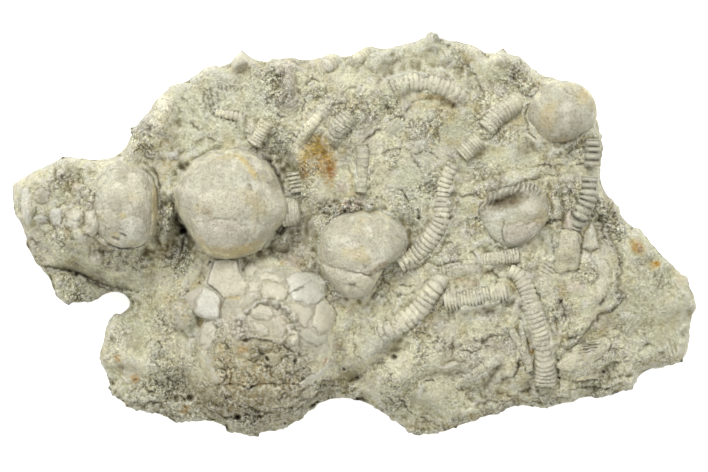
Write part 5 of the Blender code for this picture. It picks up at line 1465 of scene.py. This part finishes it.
def add_stems():
    """The ribbed stems, each more or less worn and crusted."""
    for number, (name, points, spacing, groove, rise, worn) in enumerate(STEMS):
        co, faces, tint = ribbed_bar(name, points, spacing, groove, rise, worn, number + 1)
        share = np.clip(0.10 + 0.45 * worn + 0.7 * noise_at(co, 4.0, 2, 260.0), 0.0, 0.9)
        rough = np.clip(0.36 + 0.25 * worn + 0.8 * noise_at(co, 5.0, 2, 270.0), 0.15, 1.0)
        tint = tint * STEM_TINTS.get(name, USUAL_STEM_TINT)
        add_piece("look_" + name, co, faces, "stem", [name], rough, tint=tint, rock_share=share)


# The two bars of the branched ossicle: their middle lines in millimetres with their widths
FORK_BARS = [
    [(127.0, 80.2, 1.7), (128.4, 83.5, 2.0), (130.4, 87.0, 2.1), (131.8, 90.0, 2.2), (132.4, 92.8, 1.6)],
    [(130.2, 79.8, 1.5), (130.6, 83.5, 1.8), (131.2, 88.0, 1.7)],
]

# Their rib spacing, groove, rise and wear, as in the table of stems, their first seed, and how light and
# rough they are
FORK_RIBS = (2.4, 0.04, 0.5, 0.9)
FORK_SEED = 60
FORK_TINT = 0.85
FORK_ROUGH = 0.9


def add_fork():
    """The branched ossicle: two worn bars that meet."""
    for number, points in enumerate(FORK_BARS):
        co, faces, tint = ribbed_bar("", points, *FORK_RIBS, FORK_SEED + number)
        share = np.clip(0.5 + 0.8 * noise_at(co, 4.0, 2, 260.0), 0.0, 0.9)
        add_piece("look_branched_ossicle_%d" % number, co, faces, "stem", ["branched_ossicle"],
                  np.full(len(co), FORK_ROUGH), tint=FORK_TINT * tint, rock_share=share)


# Calyxes

# The outlines of the calyxes as they lie on the sheet, from which their round shapes are pushed in or out
RIMS = {
    "large_calyx": [
        (284, 200), (283, 190), (278, 181), (273, 172), (265, 161), (255, 154), (242, 149.5), (228, 149),
        (210, 152.5), (196, 160), (186, 172), (178, 182), (172, 190), (175, 200), (178, 210), (183, 220),
        (189, 227), (193, 235), (200, 246), (210, 255), (225, 259), (245, 257), (262, 249), (272, 238),
        (278, 225), (282, 212)],
    "left_calyx": [
        (160, 200), (159, 188), (155, 177), (148, 169), (139, 164), (125, 161), (110, 163), (100, 171),
        (93, 184), (90, 203), (91, 222), (98, 237), (110, 246), (125, 250), (140, 247), (149, 241),
        (155, 230), (158, 216)],
    "middle_calyx": [
        (407, 243), (404, 230), (395, 218), (383, 210), (369, 208), (354, 209), (340, 213), (328, 221),
        (320, 232), (318, 246), (320, 262), (326, 278), (336, 290), (350, 298), (363, 298), (373, 290),
        (378, 280), (383, 268), (393, 261), (402, 253)],
    "upper_right_calyx": [
        (597, 112), (595, 101), (588, 90), (577, 83.5), (562, 81), (546, 84), (535, 93), (528, 104),
        (527, 116), (531, 127), (539, 136), (550, 143), (562, 143), (575, 139), (588, 133), (595, 124)],
    "flared_stem_base": [
        (561, 231), (571, 230), (578, 232), (579, 240), (580, 252), (578.5, 268), (568, 270), (554, 271.5),
        (556, 260), (558, 246)],
    "ribbed_plate": [
        (555, 366), (562, 359), (572, 352), (584, 345), (597, 339), (607, 337.5), (611, 343), (606, 352),
        (596, 360), (584, 366), (572, 370), (561, 370)],
    "pale_tooth_ossicle": [
        (206, 287), (214, 291), (221, 298), (220.5, 308), (219, 318), (206, 318), (194, 312), (187, 306),
        (185, 297), (194, 290)],
    "crushed_cup": [
        (549, 212), (547, 200), (540, 189), (528, 183), (510, 186), (495, 192), (484, 199), (478, 208),
        (480, 220), (486, 231), (494, 241), (503, 246.5), (512, 247), (524, 243), (535, 236), (544, 225)],
}


def rim_scale(d, name, middle, half):
    """Pushes a ball's sides in or out so that its outline is the calyx's own."""
    rim = np.array(RIMS[name], dtype=float) - (middle[0] / STEP, middle[1] / STEP)
    own = np.column_stack([rim[:, 0] * STEP / half[0], -rim[:, 1] * STEP / half[1]])
    turn = np.arctan2(own[:, 1], own[:, 0])
    order = np.argsort(turn)
    radius = np.hypot(own[:, 0], own[:, 1])
    at = np.arctan2(d[:, 1], d[:, 0])
    scale = np.interp(at, turn[order], radius[order], period=2 * math.pi)
    out = np.hypot(d[:, 0], d[:, 1])
    scale = 1.0 + (scale - 1.0) * out**1.5
    return np.column_stack([d[:, 0] * scale, d[:, 1] * scale, d[:, 2]])


def ball(level):
    """The points and triangles of an even round ball of radius 1."""
    shape = bmesh.new()
    bmesh.ops.create_icosphere(shape, subdivisions=level, radius=1.0)
    co = np.array([tuple(v.co) for v in shape.verts])
    faces = [tuple(v.index for v in f.verts) for f in shape.faces]
    shape.free()
    return co, faces


def plain(d):
    """An even round ball."""
    return d.copy()


def crushed_bowl(d):
    """A low uneven dome with a sunken middle."""
    r = np.hypot(d[:, 0], d[:, 1])
    hollow = 0.30 * np.clip(1.0 - (r / 0.9) ** 2, 0.0, 1.0) * (d[:, 2] > 0)
    return np.column_stack([d[:, 0], d[:, 1], d[:, 2] * (1.0 - hollow)])


# The comb's line from left to right, and the low swelling beside it: x, y, half length, half width and turn
COMB_LINE = [(479, 203), (486, 197), (495, 193), (505, 188), (515, 184), (526, 182), (536, 184), (542, 190)]
CUP_SWELL = (532, 208, 17, 13, 0)


def comb(P):
    """The comb of ridges along the crushed cup's upper edge, in millimetres, where its hollow lies, and where
    the gaps between its ridges are, which get painted shade.
    """
    below = P[:, 1] - np.interp(P[:, 0], *np.array(COMB_LINE).T)
    uneven = 1.0 + 0.7 * noise_at(P, 8.0, 2, 93.0)
    long = 7.0 + 4.0 * noise_at(P, 10.0, 2, 94.0)
    turns = np.cos(2 * math.pi * (P[:, 0] + 0.35 * P[:, 1] + 3.6 * noise_at(P, 10.0, 2, 95.0)) / 4.7)
    reach = fade(np.abs(below - 5.0), 1.0, long) * np.clip(0.75 + 1.2 * noise_at(P, 15.0, 2, 91.0), 0.4, 1.0)
    reach *= fade(P[:, 0], 536.0, 545.0)
    hollow = fade(oval(P, *CUP_HOLLOW), 0.3, 1.15) * np.clip(below / 3.0, 0.0, 1.0)
    swell = fade(oval(P, *CUP_SWELL), 0.1, 1.1)
    height = 0.3 * fade(np.abs(below), 0.0, 4.0) + 0.42 * uneven * turns * reach - 2.2 * hollow + 0.9 * swell
    return height, hollow, reach * np.clip(-turns, 0.0, 1.0)


def flat_topped(d):
    """A low block with a nearly flat top and rounded edges."""
    return np.column_stack([d[:, 0], d[:, 1], np.sign(d[:, 2]) * np.abs(d[:, 2]) ** 0.6])


def rib_plate(d):
    """A low leaf-shaped plate with ribs across one part of it."""
    ribbed = fade(np.hypot((d[:, 0] - 0.2) / 0.42, (d[:, 1] - 0.34) / 0.46), 0.5, 1.0)
    rib = 0.07 * np.cos(d[:, 1] * 38.0 + d[:, 0] * 5.0) * (d[:, 2] > 0) * ribbed
    return np.column_stack([d[:, 0], d[:, 1], d[:, 2] + rib])


# Seams, cracks and small dents of each calyx: half width, depth in millimetres, how dark, and the line
LARGE_MARKS = [
    (1.5, .16, .12, [(196, 222), (208, 222), (222, 218), (236, 219), (247, 226), (252, 238)]),
    (1.5, .14, .1, [(218, 152), (208, 166), (203, 180), (205, 194)]), (1.6, .18, .14, [(238, 152),
    (250, 160), (258, 172), (263, 186)]), (1.4, .14, .12, [(262, 195), (258, 206), (259, 220), (254, 234)]),
    (2.8, .35, .6, [(250, 186), (252, 188)]), (1.8, .2, .4, [(268, 183), (270, 184)]),
    (1.3, .12, .12, [(180, 205), (192, 210), (200, 222)]), (1.1, .1, .35, [(206, 211), (209, 214)]),
    (1.1, .1, .35, [(197, 205), (199, 206)]), (1.1, .1, .3, [(212, 209), (214, 208)]),
    (1.2, .15, .3, [(190, 226), (197, 229)]), (1.5, .2, .25, [(186, 223), (192, 225), (196, 227)]),
]
LEFT_MARKS = [
    (1.2, .25, .3, [(127, 163), (137, 168), (146, 178), (149, 190), (150, 204)]), (1.1, .2, .25, [(110, 170),
    (124, 168), (130, 175)]), (1.2, .25, .35, [(101, 219), (106, 228), (105, 238)]),
    (1.1, .15, .2, [(98, 196), (105, 210), (101, 219)]), (2.6, .5, .75, [(114, 238), (119, 239)]),
    (1.8, .4, .7, [(122, 234), (126, 236)]), (1.2, .2, .3, [(108, 229), (118, 226), (124, 231)]),
    (1.2, .4, .75, [(153, 168), (157, 182), (158.5, 198), (158.5, 213), (156, 226), (152, 236)]),
    (1.1, .2, .3, [(148, 176), (151, 190), (152, 204), (151, 222), (149, 238)]),
]
MIDDLE_MARKS = [
    (1.6, .35, .35, [(322, 262), (334, 268), (348, 270), (362, 274), (372, 276)]), (3.0, .6, .7, [(350, 283),
    (354, 284)]), (2.4, .25, .4, [(362, 264), (365, 267)]), (1.5, .3, .55, [(376, 272), (383, 268),
    (389, 263)]), (1.2, .12, .12, [(352, 214), (362, 222), (368, 234)]), (1.2, .12, .12, [(392, 224),
    (400, 236), (402, 248)]),
]
UPPER_RIGHT_MARKS = [
    (1.3, .15, .2, [(560, 86), (568, 94), (580, 98)]), (1.2, .4, .8, [(547, 118), (548, 119)]),
    (1.5, .15, .18, [(535, 110), (545, 122), (552, 134)]), (1.4, .14, .15, [(575, 100), (582, 110),
    (580, 122)]),
]
CUP_MARKS = [
    (1.2, .4, .6, [(504, 222), (502, 232), (503, 240), (507, 247)]), (1.2, .3, .4, [(532, 188), (524, 200),
    (516, 206)]), (2.4, .5, .6, [(486, 206), (494, 201), (504, 198), (514, 195)]),
    (1.3, .3, .35, [(520, 226), (530, 222), (540, 218)]),
]
RIBBED_PLATE_MARKS = [
    (1.3, .2, .9, line) for line in (
        [(583, 341.5), (590, 339.5), (598, 338.5)], [(580, 344.7), (589, 342.7), (600, 341)],
        [(579, 347.8), (589, 345.8), (600, 344)], [(578, 351), (588, 349), (598, 347)],
        [(578, 354), (587, 352.2), (595, 350.5)],
    )
]

# Each round piece: its node, its middle in millimetres on the sheet and that middle's height, its half sizes,
# its shape, its fineness, its marks and its kind
BALLS = [
    ("large_calyx", (57, 51, 22.5), (13.8, 13.9, 13.3), plain, 7, LARGE_MARKS, "calyx"),
    ("left_calyx", (31, 51.2, 18.5), (9, 11, 9.5), plain, 7, LEFT_MARKS, "calyx"),
    ("middle_calyx", (90.25, 63.3, 21.5), (11.2, 11.1, 9.0), plain, 7, MIDDLE_MARKS, "calyx"),
    ("upper_right_calyx", (140.5, 28, 18.8), (8.75, 8.2, 8.2), plain, 6, UPPER_RIGHT_MARKS, "calyx"),
    ("crushed_cup", (128.4, 54.2, 21.6), (7.9, 7.6, 3.4), crushed_bowl, 6, CUP_MARKS, "calyx"),
    ("flared_stem_base", (141.4, 62.8, 19.8), (3.1, 5.0, 2.8), flat_topped, 6, [], "stem"),
    ("ribbed_plate", (146, 87.6, 16.5), (6.4, 4.0, 2.3), rib_plate, 6, RIBBED_PLATE_MARKS, "stem"),
    ("pale_tooth_ossicle", (50.0, 75.6, 23.6), (4.2, 4.0, 2.0), flat_topped, 5, [], "calyx"),
]


def point_normals(co, faces):
    """The way out of the surface at each point."""
    tri = np.array(faces)
    a, b, c = (co[tri[:, k]] for k in range(3))
    flat = np.cross(b - a, c - a)
    normals = np.zeros_like(co)
    for k in range(3):
        np.add.at(normals, tri[:, k], flat)
    return normals / np.maximum(np.linalg.norm(normals, axis=1), 1e-12)[:, None]


# How lumpy each calyx is
LUMPY = {"large_calyx": 1.0, "left_calyx": 1.3, "middle_calyx": 0.7, "upper_right_calyx": 0.9,
         "crushed_cup": 1.0, "ribbed_plate": 0.3, "flared_stem_base": 0.3, "pale_tooth_ossicle": 0.3}

# How light each round piece is beside the others of its kind
TINTS = {"large_calyx": 1.04, "left_calyx": 1.0, "middle_calyx": 1.09, "upper_right_calyx": 1.0,
         "crushed_cup": 0.90, "ribbed_plate": 0.92, "flared_stem_base": 0.80, "pale_tooth_ossicle": 0.96}

# How much of the rock's colour a round piece takes on its sides, where that isn't all of it
ROCK_SHARES = {"pale_tooth_ossicle": 0.2}

# The round pieces that are crusted like the rock all over: how much, and how rough they are
CRUSTED = {"ribbed_plate": (0.65, 0.6), "flared_stem_base": (0.35, 0.5),
           "pale_tooth_ossicle": (0.0, 0.1)}

# How steeply a piece climbs to the right
LEANS = {"pale_tooth_ossicle": 0.75}

# How rough the round pieces are that aren't crusted
CALYX_ROUGH = 0.40

# The swelling at the large calyx's right: x, y, half length, half width and turn
GLOBE_SWELL = (278, 211, 19, 17, 0)

# Plates that stand a little proud on the round calyxes
SMALL_PLATES = {
    "large_calyx": [
        ([(192, 227), (200, 222), (211, 219.5), (224, 219), (237, 221), (245, 228), (249, 236), (242, 247),
          (228, 252), (212, 250), (200, 240)], .18, .35, "pinkgrey", .25),
        ([(197, 196), (212, 190), (232, 190), (246, 196), (248, 210), (236, 218), (214, 218),
          (200, 212)], .12, .2, "cream", .3),
    ],
    "left_calyx": [
        ([(122, 220), (133, 215), (144, 220), (148, 230), (143, 240), (130, 241),
          (121, 233)], .12, .5, "white", .3),
        ([(103, 186), (116, 180), (128, 187), (127, 202), (114, 208), (102, 201)], .15, .25, "cream", .3),
        ([(128, 172), (140, 174), (147, 186), (148, 202), (136, 210), (129, 200)], .15, .25, "cream", .3),
        ([(95, 212), (107, 209), (119, 214), (119, 228), (106, 231), (96, 224)], .12, .3, "cream", .3),
    ],
    "crushed_cup": [
        ([(482, 224), (492, 222), (506, 226), (504, 238), (501, 245), (492, 240),
          (485, 233)], .25, .2, "grey", .7),
        ([(508, 226), (520, 222), (536, 222), (533, 233), (522, 243), (508, 246),
          (505, 240)], .25, .2, "pinkgrey", .6),
        ([(494, 214), (506, 207), (522, 205), (536, 208), (538, 217), (524, 221), (508, 224),
          (496, 220)], .1, .2, "grey", .4),
    ],
    "pale_tooth_ossicle": [
        ([(204, 288), (214, 291), (221, 298), (220, 318), (206, 318), (195, 312),
          (198, 300)], .3, .3, "white", .55),
        ([(183, 296), (194, 289), (203, 286), (203, 291), (196, 299), (193, 312),
          (184, 305)], .2, .2, "pinkgrey", .5),
    ],
    "middle_calyx": [
        ([(322, 264), (336, 269), (352, 272), (366, 275), (375, 281), (370, 292), (360, 298), (346, 296),
          (334, 287), (325, 276)], .25, .5, "cream", .3),
    ],
}


def add_balls():
    """The round calyxes and the other rounded pieces, pushed in and out from even balls."""
    for number, (name, middle, half, shape, level, marks, kind) in enumerate(BALLS):
        d, faces = ball(level)
        co = rim_scale(shape(d), name, middle, half) * np.array(half)
        co[:, 2] += LEANS.get(name, 0.0) * co[:, 0]
        co += (middle[0] - SHEET_MIDDLE[0], SHEET_MIDDLE[1] - middle[1], middle[2])
        normals = point_normals(co, faces)
        up = np.clip(normals[:, 2] * 2.0, 0.0, 1.0)
        W = wobble(on_sheet(co))
        lumpy = LUMPY[name]
        wide = 0.30 * noise_at(co, 9.0, 2, 300.0 + number)
        push = lumpy * (wide + 0.10 * noise_at(co, 3.0, 3, 320.0 + number))
        uneven = co + 0.8 * noise_at(co, 4.0, 2, 330.0)[:, None]
        push += lumpy * 0.22 * (0.5 - cells_at(uneven, 6.0, 340.0 + number))
        if name == "large_calyx":
            push += 1.8 * fade(oval(W, *GLOBE_SWELL), 0.1, 1.3) * (normals[:, 2] > -0.2)
        if name == "flared_stem_base":
            push += up * 0.03 * np.cos(2 * math.pi * W[:, 1] / 2.4) * fade(np.abs(W[:, 1] - 264.0), 2.0, 9.0)
        plates, _, coats = raised_plates(W, SMALL_PLATES.get(name, []))
        if name == "crushed_cup":
            teeth, hollow, gaps = comb(W)
            push += up * teeth
            # Painted shade: the hollow behind the comb is painted shade, brown and dark, and so are the gaps
            # between its ridges
            hollow_shade_share = np.clip(0.75 + 1.2 * noise_at(W, 9.0, 3, 99.0), 0.2, 1.0)
            coats = coats + [("shade", 0.9 * hollow), ("brown", 0.8 * hollow * hollow_shade_share),
                             ("dark", 0.42 * hollow * hollow_shade_share + 0.5 * gaps * fade(W[:, 0], 515.0, 535.0))]
        push += up * (plates - cut_lines(W, marks))
        co += normals * push[:, None]
        side = np.clip(0.75 - 1.5 * normals[:, 2] + 0.8 * noise_at(co, 3.0, 3, 350.0), 0.0, 0.8)
        side *= ROCK_SHARES.get(name, 1.0)
        least, usual = CRUSTED.get(name, (0.0, CALYX_ROUGH))
        side = np.maximum(side, least)
        rough = np.full(len(co), usual)
        tint = np.full(len(co), TINTS[name])
        add_piece("look_" + name, co, faces, kind, [name], rough, marks, tint, coats, side)


# The large broken calyx

# Its open middle: x, y, radius and depth in millimetres
BOWL = (268, 324, 24, 1.7)

# The way from the mound's middle to its shield-shaped plate, in radians, where the mound reaches further out
SHIELD_SIDE = 4.055

# Lumps on the mound: x, y, half length, half width, turn and rise in millimetres
MOUND_LUMPS = [
    (248, 309, 6, 4, 30, 1.5), (256, 304, 5, 4, 10, 1.3), (265, 302, 5, 4, 0, 1.5),
    (276, 304, 6, 4, -15, 1.5), (286, 310, 5, 5, -40, 1.6), (293, 318, 4, 6, 0, 1.6),
    (291, 329, 4, 5, 0, 1.4), (294, 340, 5, 6, 0, 1.5), (296, 350, 6, 5, 0, 1.3), (241, 318, 5, 7, 0, 1.3),
    (238, 332, 6, 6, 0, 1.4), (262, 345, 12, 6, 10, .8), (222, 352, 9, 6, 30, 1.1),
    (240, 362, 10, 6, -20, 1.2), (262, 372, 12, 7, 0, 1.3), (284, 366, 11, 7, 20, 1.2),
    (306, 358, 12, 8, -10, 1.2), (222, 378, 9, 7, 0, 1.1), (244, 388, 12, 6, 0, 1.3),
    (270, 390, 10, 6, 0, 1.2), (296, 386, 12, 6, 15, 1.3), (318, 372, 9, 8, 0, 1.1),
    (212, 398, 9, 6, 0, 1.0), (232, 402, 10, 6, 0, 1.1), (252, 404, 9, 5, 0, 1.2),
]

# The ridge beside the open middle
RIM_ARC = [(278, 301), (287, 307), (294, 316), (298, 328), (296, 340)]

# Seams, cracks and small holes of the mound, as in the tables of the rock
MOUND_MARKS = [
    (1.4, .3, .55, [(286, 298), (293, 291), (301, 287), (311, 281), (318, 276)]), (2.6, .6, .5, [(296, 290),
    (304, 287)]), (1.2, .3, .4, [(224, 302), (222, 310), (222, 318)]), (2.2, .8, .75, [(246, 339),
    (252, 338), (262, 340), (272, 341)]), (2.2, .8, .7, [(262, 352), (268, 358)]), (1.4, .5, .6, [(247, 318),
    (250, 328), (256, 335)]), (1.3, .4, .5, [(284, 344), (290, 350), (300, 352)]), (1.4, .5, .6, [(208, 336),
    (213, 330)]), (1.4, .6, .6, [(290, 340), (293, 346)]), (1.6, .6, .6, [(219, 358), (226, 366),
    (232, 368)]), (1.6, .8, .65, [(218, 385), (235, 383), (250, 388), (262, 382), (280, 384), (300, 383)]),
    (1.3, .5, .45, [(232, 352), (244, 356), (256, 362)]), (1.3, .5, .45, [(262, 372), (276, 368), (292, 372),
    (306, 366)]), (1.5, .7, .8, [(199, 319), (201, 326)]), (1.6, .7, .8, [(296, 346), (297, 348)]),
    (1.6, .7, .7, [(315, 345), (317, 346)]), (1.8, .8, .75, [(227, 345), (229, 348)]),
    (1.5, .6, .6, [(205, 344), (199, 345)]), (1.6, .7, .7, [(332, 332), (334, 333)]),
]
MOUND_HOLES = [
    (268, 357, 2.6, 1.2, .9), (201, 322, 2.4, 1.0, .8), (246, 340, 2.8, 1.0, .75), (252, 386, 2.2, 1.0, .8),
    (303, 378, 2.2, .9, .6), (228, 376, 3, .8, .4),
]

# Where the mound is rough instead of plated: x, y, half length, half width, turn and factor
MOUND_ROUGH = [
    (270, 285, 66, 30, 0, .4), (318, 325, 26, 36, 0, .45), (222, 345, 26, 40, 0, 1.1),
    (262, 385, 70, 34, 0, 1.6), (268, 324, 22, 18, 0, .3),
]

# How close the mound's points are, in steps, how many its edge has, and how far its sides go on below its
# foot, in millimetres
MOUND_PITCH = 1.0
MOUND_EDGE_POINTS = 420
MOUND_SINK = 8.0


def add_mound():
    """The plated calyx: a domed sheet over the mound, closed below inside the rock."""
    x, y, half_length, half_width = MOUND
    turn = np.linspace(0.0, 2 * math.pi, MOUND_EDGE_POINTS, endpoint=False)
    size = 1.03 + 0.23 * np.exp(-(((turn - SHIELD_SIDE) / 0.22) ** 2))
    rim = np.column_stack([x + size * half_length * np.cos(turn), y + size * half_width * np.sin(turn)])
    count = len(rim)
    P, faces = sheet_mesh(rim, MOUND_PITCH, all_of)
    W = wobble(P)
    top, r = mound_height(P)
    rough = zoned(P, MOUND_ROUGH, 1.0) * np.clip(0.8 + 1.2 * noise_at(P, 24.0, 2, 39.0), 0.4, 1.5)
    height = top - 1.3 * (1.0 - fade(r, 0.93, 1.0))
    height = laid_on_shield(P, height, 3.0, 0.0)
    plates, plate_cover, coats = raised_plates(W, PLATES)
    height += plates
    rough *= 1.0 - PLATE_CALM * plate_cover
    bx, by, half, deep = BOWL
    b = oval(W, bx, by, half, half, 0)
    height -= deep * fade(b, 0.25, 1.0)
    arc, arc_run = arc_place(W, RIM_ARC)
    height += (1.1 + 0.25 * np.cos(arc_run * 1.25)) * np.exp(-((arc / 3.2) ** 2))
    height += 1.0 * noise_at(P, 34.0, 2, 67.0) * fade(r, 0.75, 0.98)
    big = np.abs(noise_at(bent(P), 26.0, 2, 43.0)) ** 0.8 - 0.3
    height += 1.25 * crust(P, rough) + 2.2 * big * np.clip(rough - 0.6, 0.0, 1.0)
    U = bent(P)
    for lx, ly, half_length, half_width, turned, rise in MOUND_LUMPS:
        height += rise * fade(oval(U, lx, ly, half_length, half_width, turned), 0.2, 1.2)
    height -= cut_lines(W, MOUND_MARKS)
    for hx, hy, radius, deep, _ in MOUND_HOLES:
        height -= deep * fade(oval(W, hx, hy, radius, radius, 0), 0.3, 1.3)
    co = place(P, height)
    tri = facing_up(co, faces).tolist()
    low = len(co)
    drop = np.column_stack([co[:count, :2], np.full(count, MOUND_FOOT - MOUND_SINK)])
    middle = np.array([[x * STEP - SHEET_MIDDLE[0], SHEET_MIDDLE[1] - y * STEP, MOUND_FOOT - MOUND_SINK]])
    co = np.concatenate([co, drop, middle])
    for k in range(count):
        after = (k + 1) % count
        tri.append((k, after, low + after))
        tri.append((k, low + after, low + k))
        tri.append((low + k, low + after, low + count))
    spots = [(radius, 0, dark, [(hx, hy), (hx + .5, hy)]) for hx, hy, radius, _, dark in MOUND_HOLES]
    spare = count + 1
    rock_share = np.clip((P[:, 1] - 345.0) / 30.0, 0.0, 0.85)
    rock_share = np.maximum(rock_share, 1.0 - fade(r, 0.82, 0.98)) * (1.0 - plate_cover)
    rough = np.clip(rough, 0.1, 1.15)
    padded = [(colour, np.concatenate([weight, np.zeros(spare)])) for colour, weight in coats]
    rough = np.concatenate([rough, np.ones(spare)])
    rock_share = np.concatenate([rock_share, np.ones(spare)])
    add_piece("look_plated_calyx", co, tri, "calyx", ["plated_calyx"], rough, MOUND_MARKS + spots,
              coats=padded, rock_share=rock_share)


def arc_place(P, line):
    """How far each place is from a line, and how far along the line its nearest point is."""
    best = np.full(len(P), np.inf)
    run_at = np.zeros(len(P))
    run = 0.0
    for start, end in zip(line[:-1], line[1:]):
        start = np.array(start, dtype=float)
        along = np.array(end, dtype=float) - start
        length = np.linalg.norm(along)
        t = np.clip((P - start) @ along / length**2, 0.0, 1.0)
        gap = np.linalg.norm(P - start - t[:, None] * along, axis=1)
        nearer = gap < best
        best[nearer] = gap[nearer]
        run_at[nearer] = run + t[nearer] * length
        run += length
    return best, run_at


# The setting

# The lamp: its place and width in metres, its power, and how high above the floor it is aimed
KEY_PLACE = (-0.22, 0.72, 0.92)
KEY_SIZE = 0.55
KEY_POWER = 11.5
AIM_HEIGHT = 0.015

# How strong the sky is, and the floor's half size in metres, how light it is and how much it glows
SKY_STRENGTH = 0.92
FLOOR_SIZE = 3.0
FLOOR_GREY = 0.9
FLOOR_GLOW = 0.6

# The camera: its sensor and lens in millimetres, how wide it sees and what is in the middle of its picture,
# in metres
SENSOR_WIDTH = 36.0
LENS = 500.0
VIEW_WIDTH = 0.177
VIEW_MIDDLE = (-0.0001, -0.00035, 0.018)


def add_floor():
    """A wide light floor, so that the background is as white as in the photograph."""
    shape = bmesh.new()
    bmesh.ops.create_grid(shape, x_segments=1, y_segments=1, size=FLOOR_SIZE)
    mesh = bpy.data.meshes.new("floor")
    shape.to_mesh(mesh)
    shape.free()
    floor = bpy.data.objects.new("floor", mesh)
    bpy.context.scene.collection.objects.link(floor)
    made = bpy.data.materials.new("floor")
    made.use_nodes = True
    shader = made.node_tree.nodes["Principled BSDF"]
    shader.inputs["Base Color"].default_value = (FLOOR_GREY, FLOOR_GREY, FLOOR_GREY, 1.0)
    shader.inputs["Roughness"].default_value = 1.0
    shader.inputs["Specular IOR Level"].default_value = 0.0
    shader.inputs["Emission Color"].default_value = (1.0, 1.0, 1.0, 1.0)
    shader.inputs["Emission Strength"].default_value = FLOOR_GLOW
    mesh.materials.append(made)


def add_camera():
    """Straight down from far above, so that the plate fills the frame as in the photograph."""
    data = bpy.data.cameras.new("camera")
    data.sensor_width = SENSOR_WIDTH
    data.lens = LENS
    data.clip_end = 10.0
    camera = bpy.data.objects.new("camera", data)
    x, y, z = VIEW_MIDDLE
    camera.location = (x, y, z + VIEW_WIDTH * LENS / SENSOR_WIDTH)
    bpy.context.scene.collection.objects.link(camera)
    bpy.context.scene.camera = camera


def add_light():
    """One soft lamp from beyond the plate's upper edge, and an even white sky."""
    lamp = bpy.data.lights.new("key", "AREA")
    lamp.shape = "DISK"
    lamp.size = KEY_SIZE
    lamp.energy = KEY_POWER
    obj = bpy.data.objects.new("key", lamp)
    obj.location = KEY_PLACE
    obj.rotation_euler = (Vector((0, 0, AIM_HEIGHT)) - Vector(KEY_PLACE)).to_track_quat("-Z", "Y").to_euler()
    bpy.context.scene.collection.objects.link(obj)
    world = bpy.data.worlds.new("world")
    world.use_nodes = True
    sky = world.node_tree.nodes["Background"]
    sky.inputs["Color"].default_value = (1.0, 1.0, 1.0, 1.0)
    sky.inputs["Strength"].default_value = SKY_STRENGTH
    bpy.context.scene.world = world
    bpy.context.scene.view_settings.view_transform = "Standard"


def main():
    """Builds the whole scene."""
    add_camera()
    add_light()
    add_floor()
    co, faces = rock_shape()
    _, cover, coats = raised_plates(wobble(on_sheet(co)), PLATES)
    rough = roughness_at(on_sheet(co)) * (1.0 - PLATE_CALM * cover)
    add_piece("look_matrix", co, faces, "rock", ["matrix"], rough, CRACKS, 1.07 + 0.11 * rough, coats)
    add_stems()
    add_fork()
    add_balls()
    add_mound()


main()
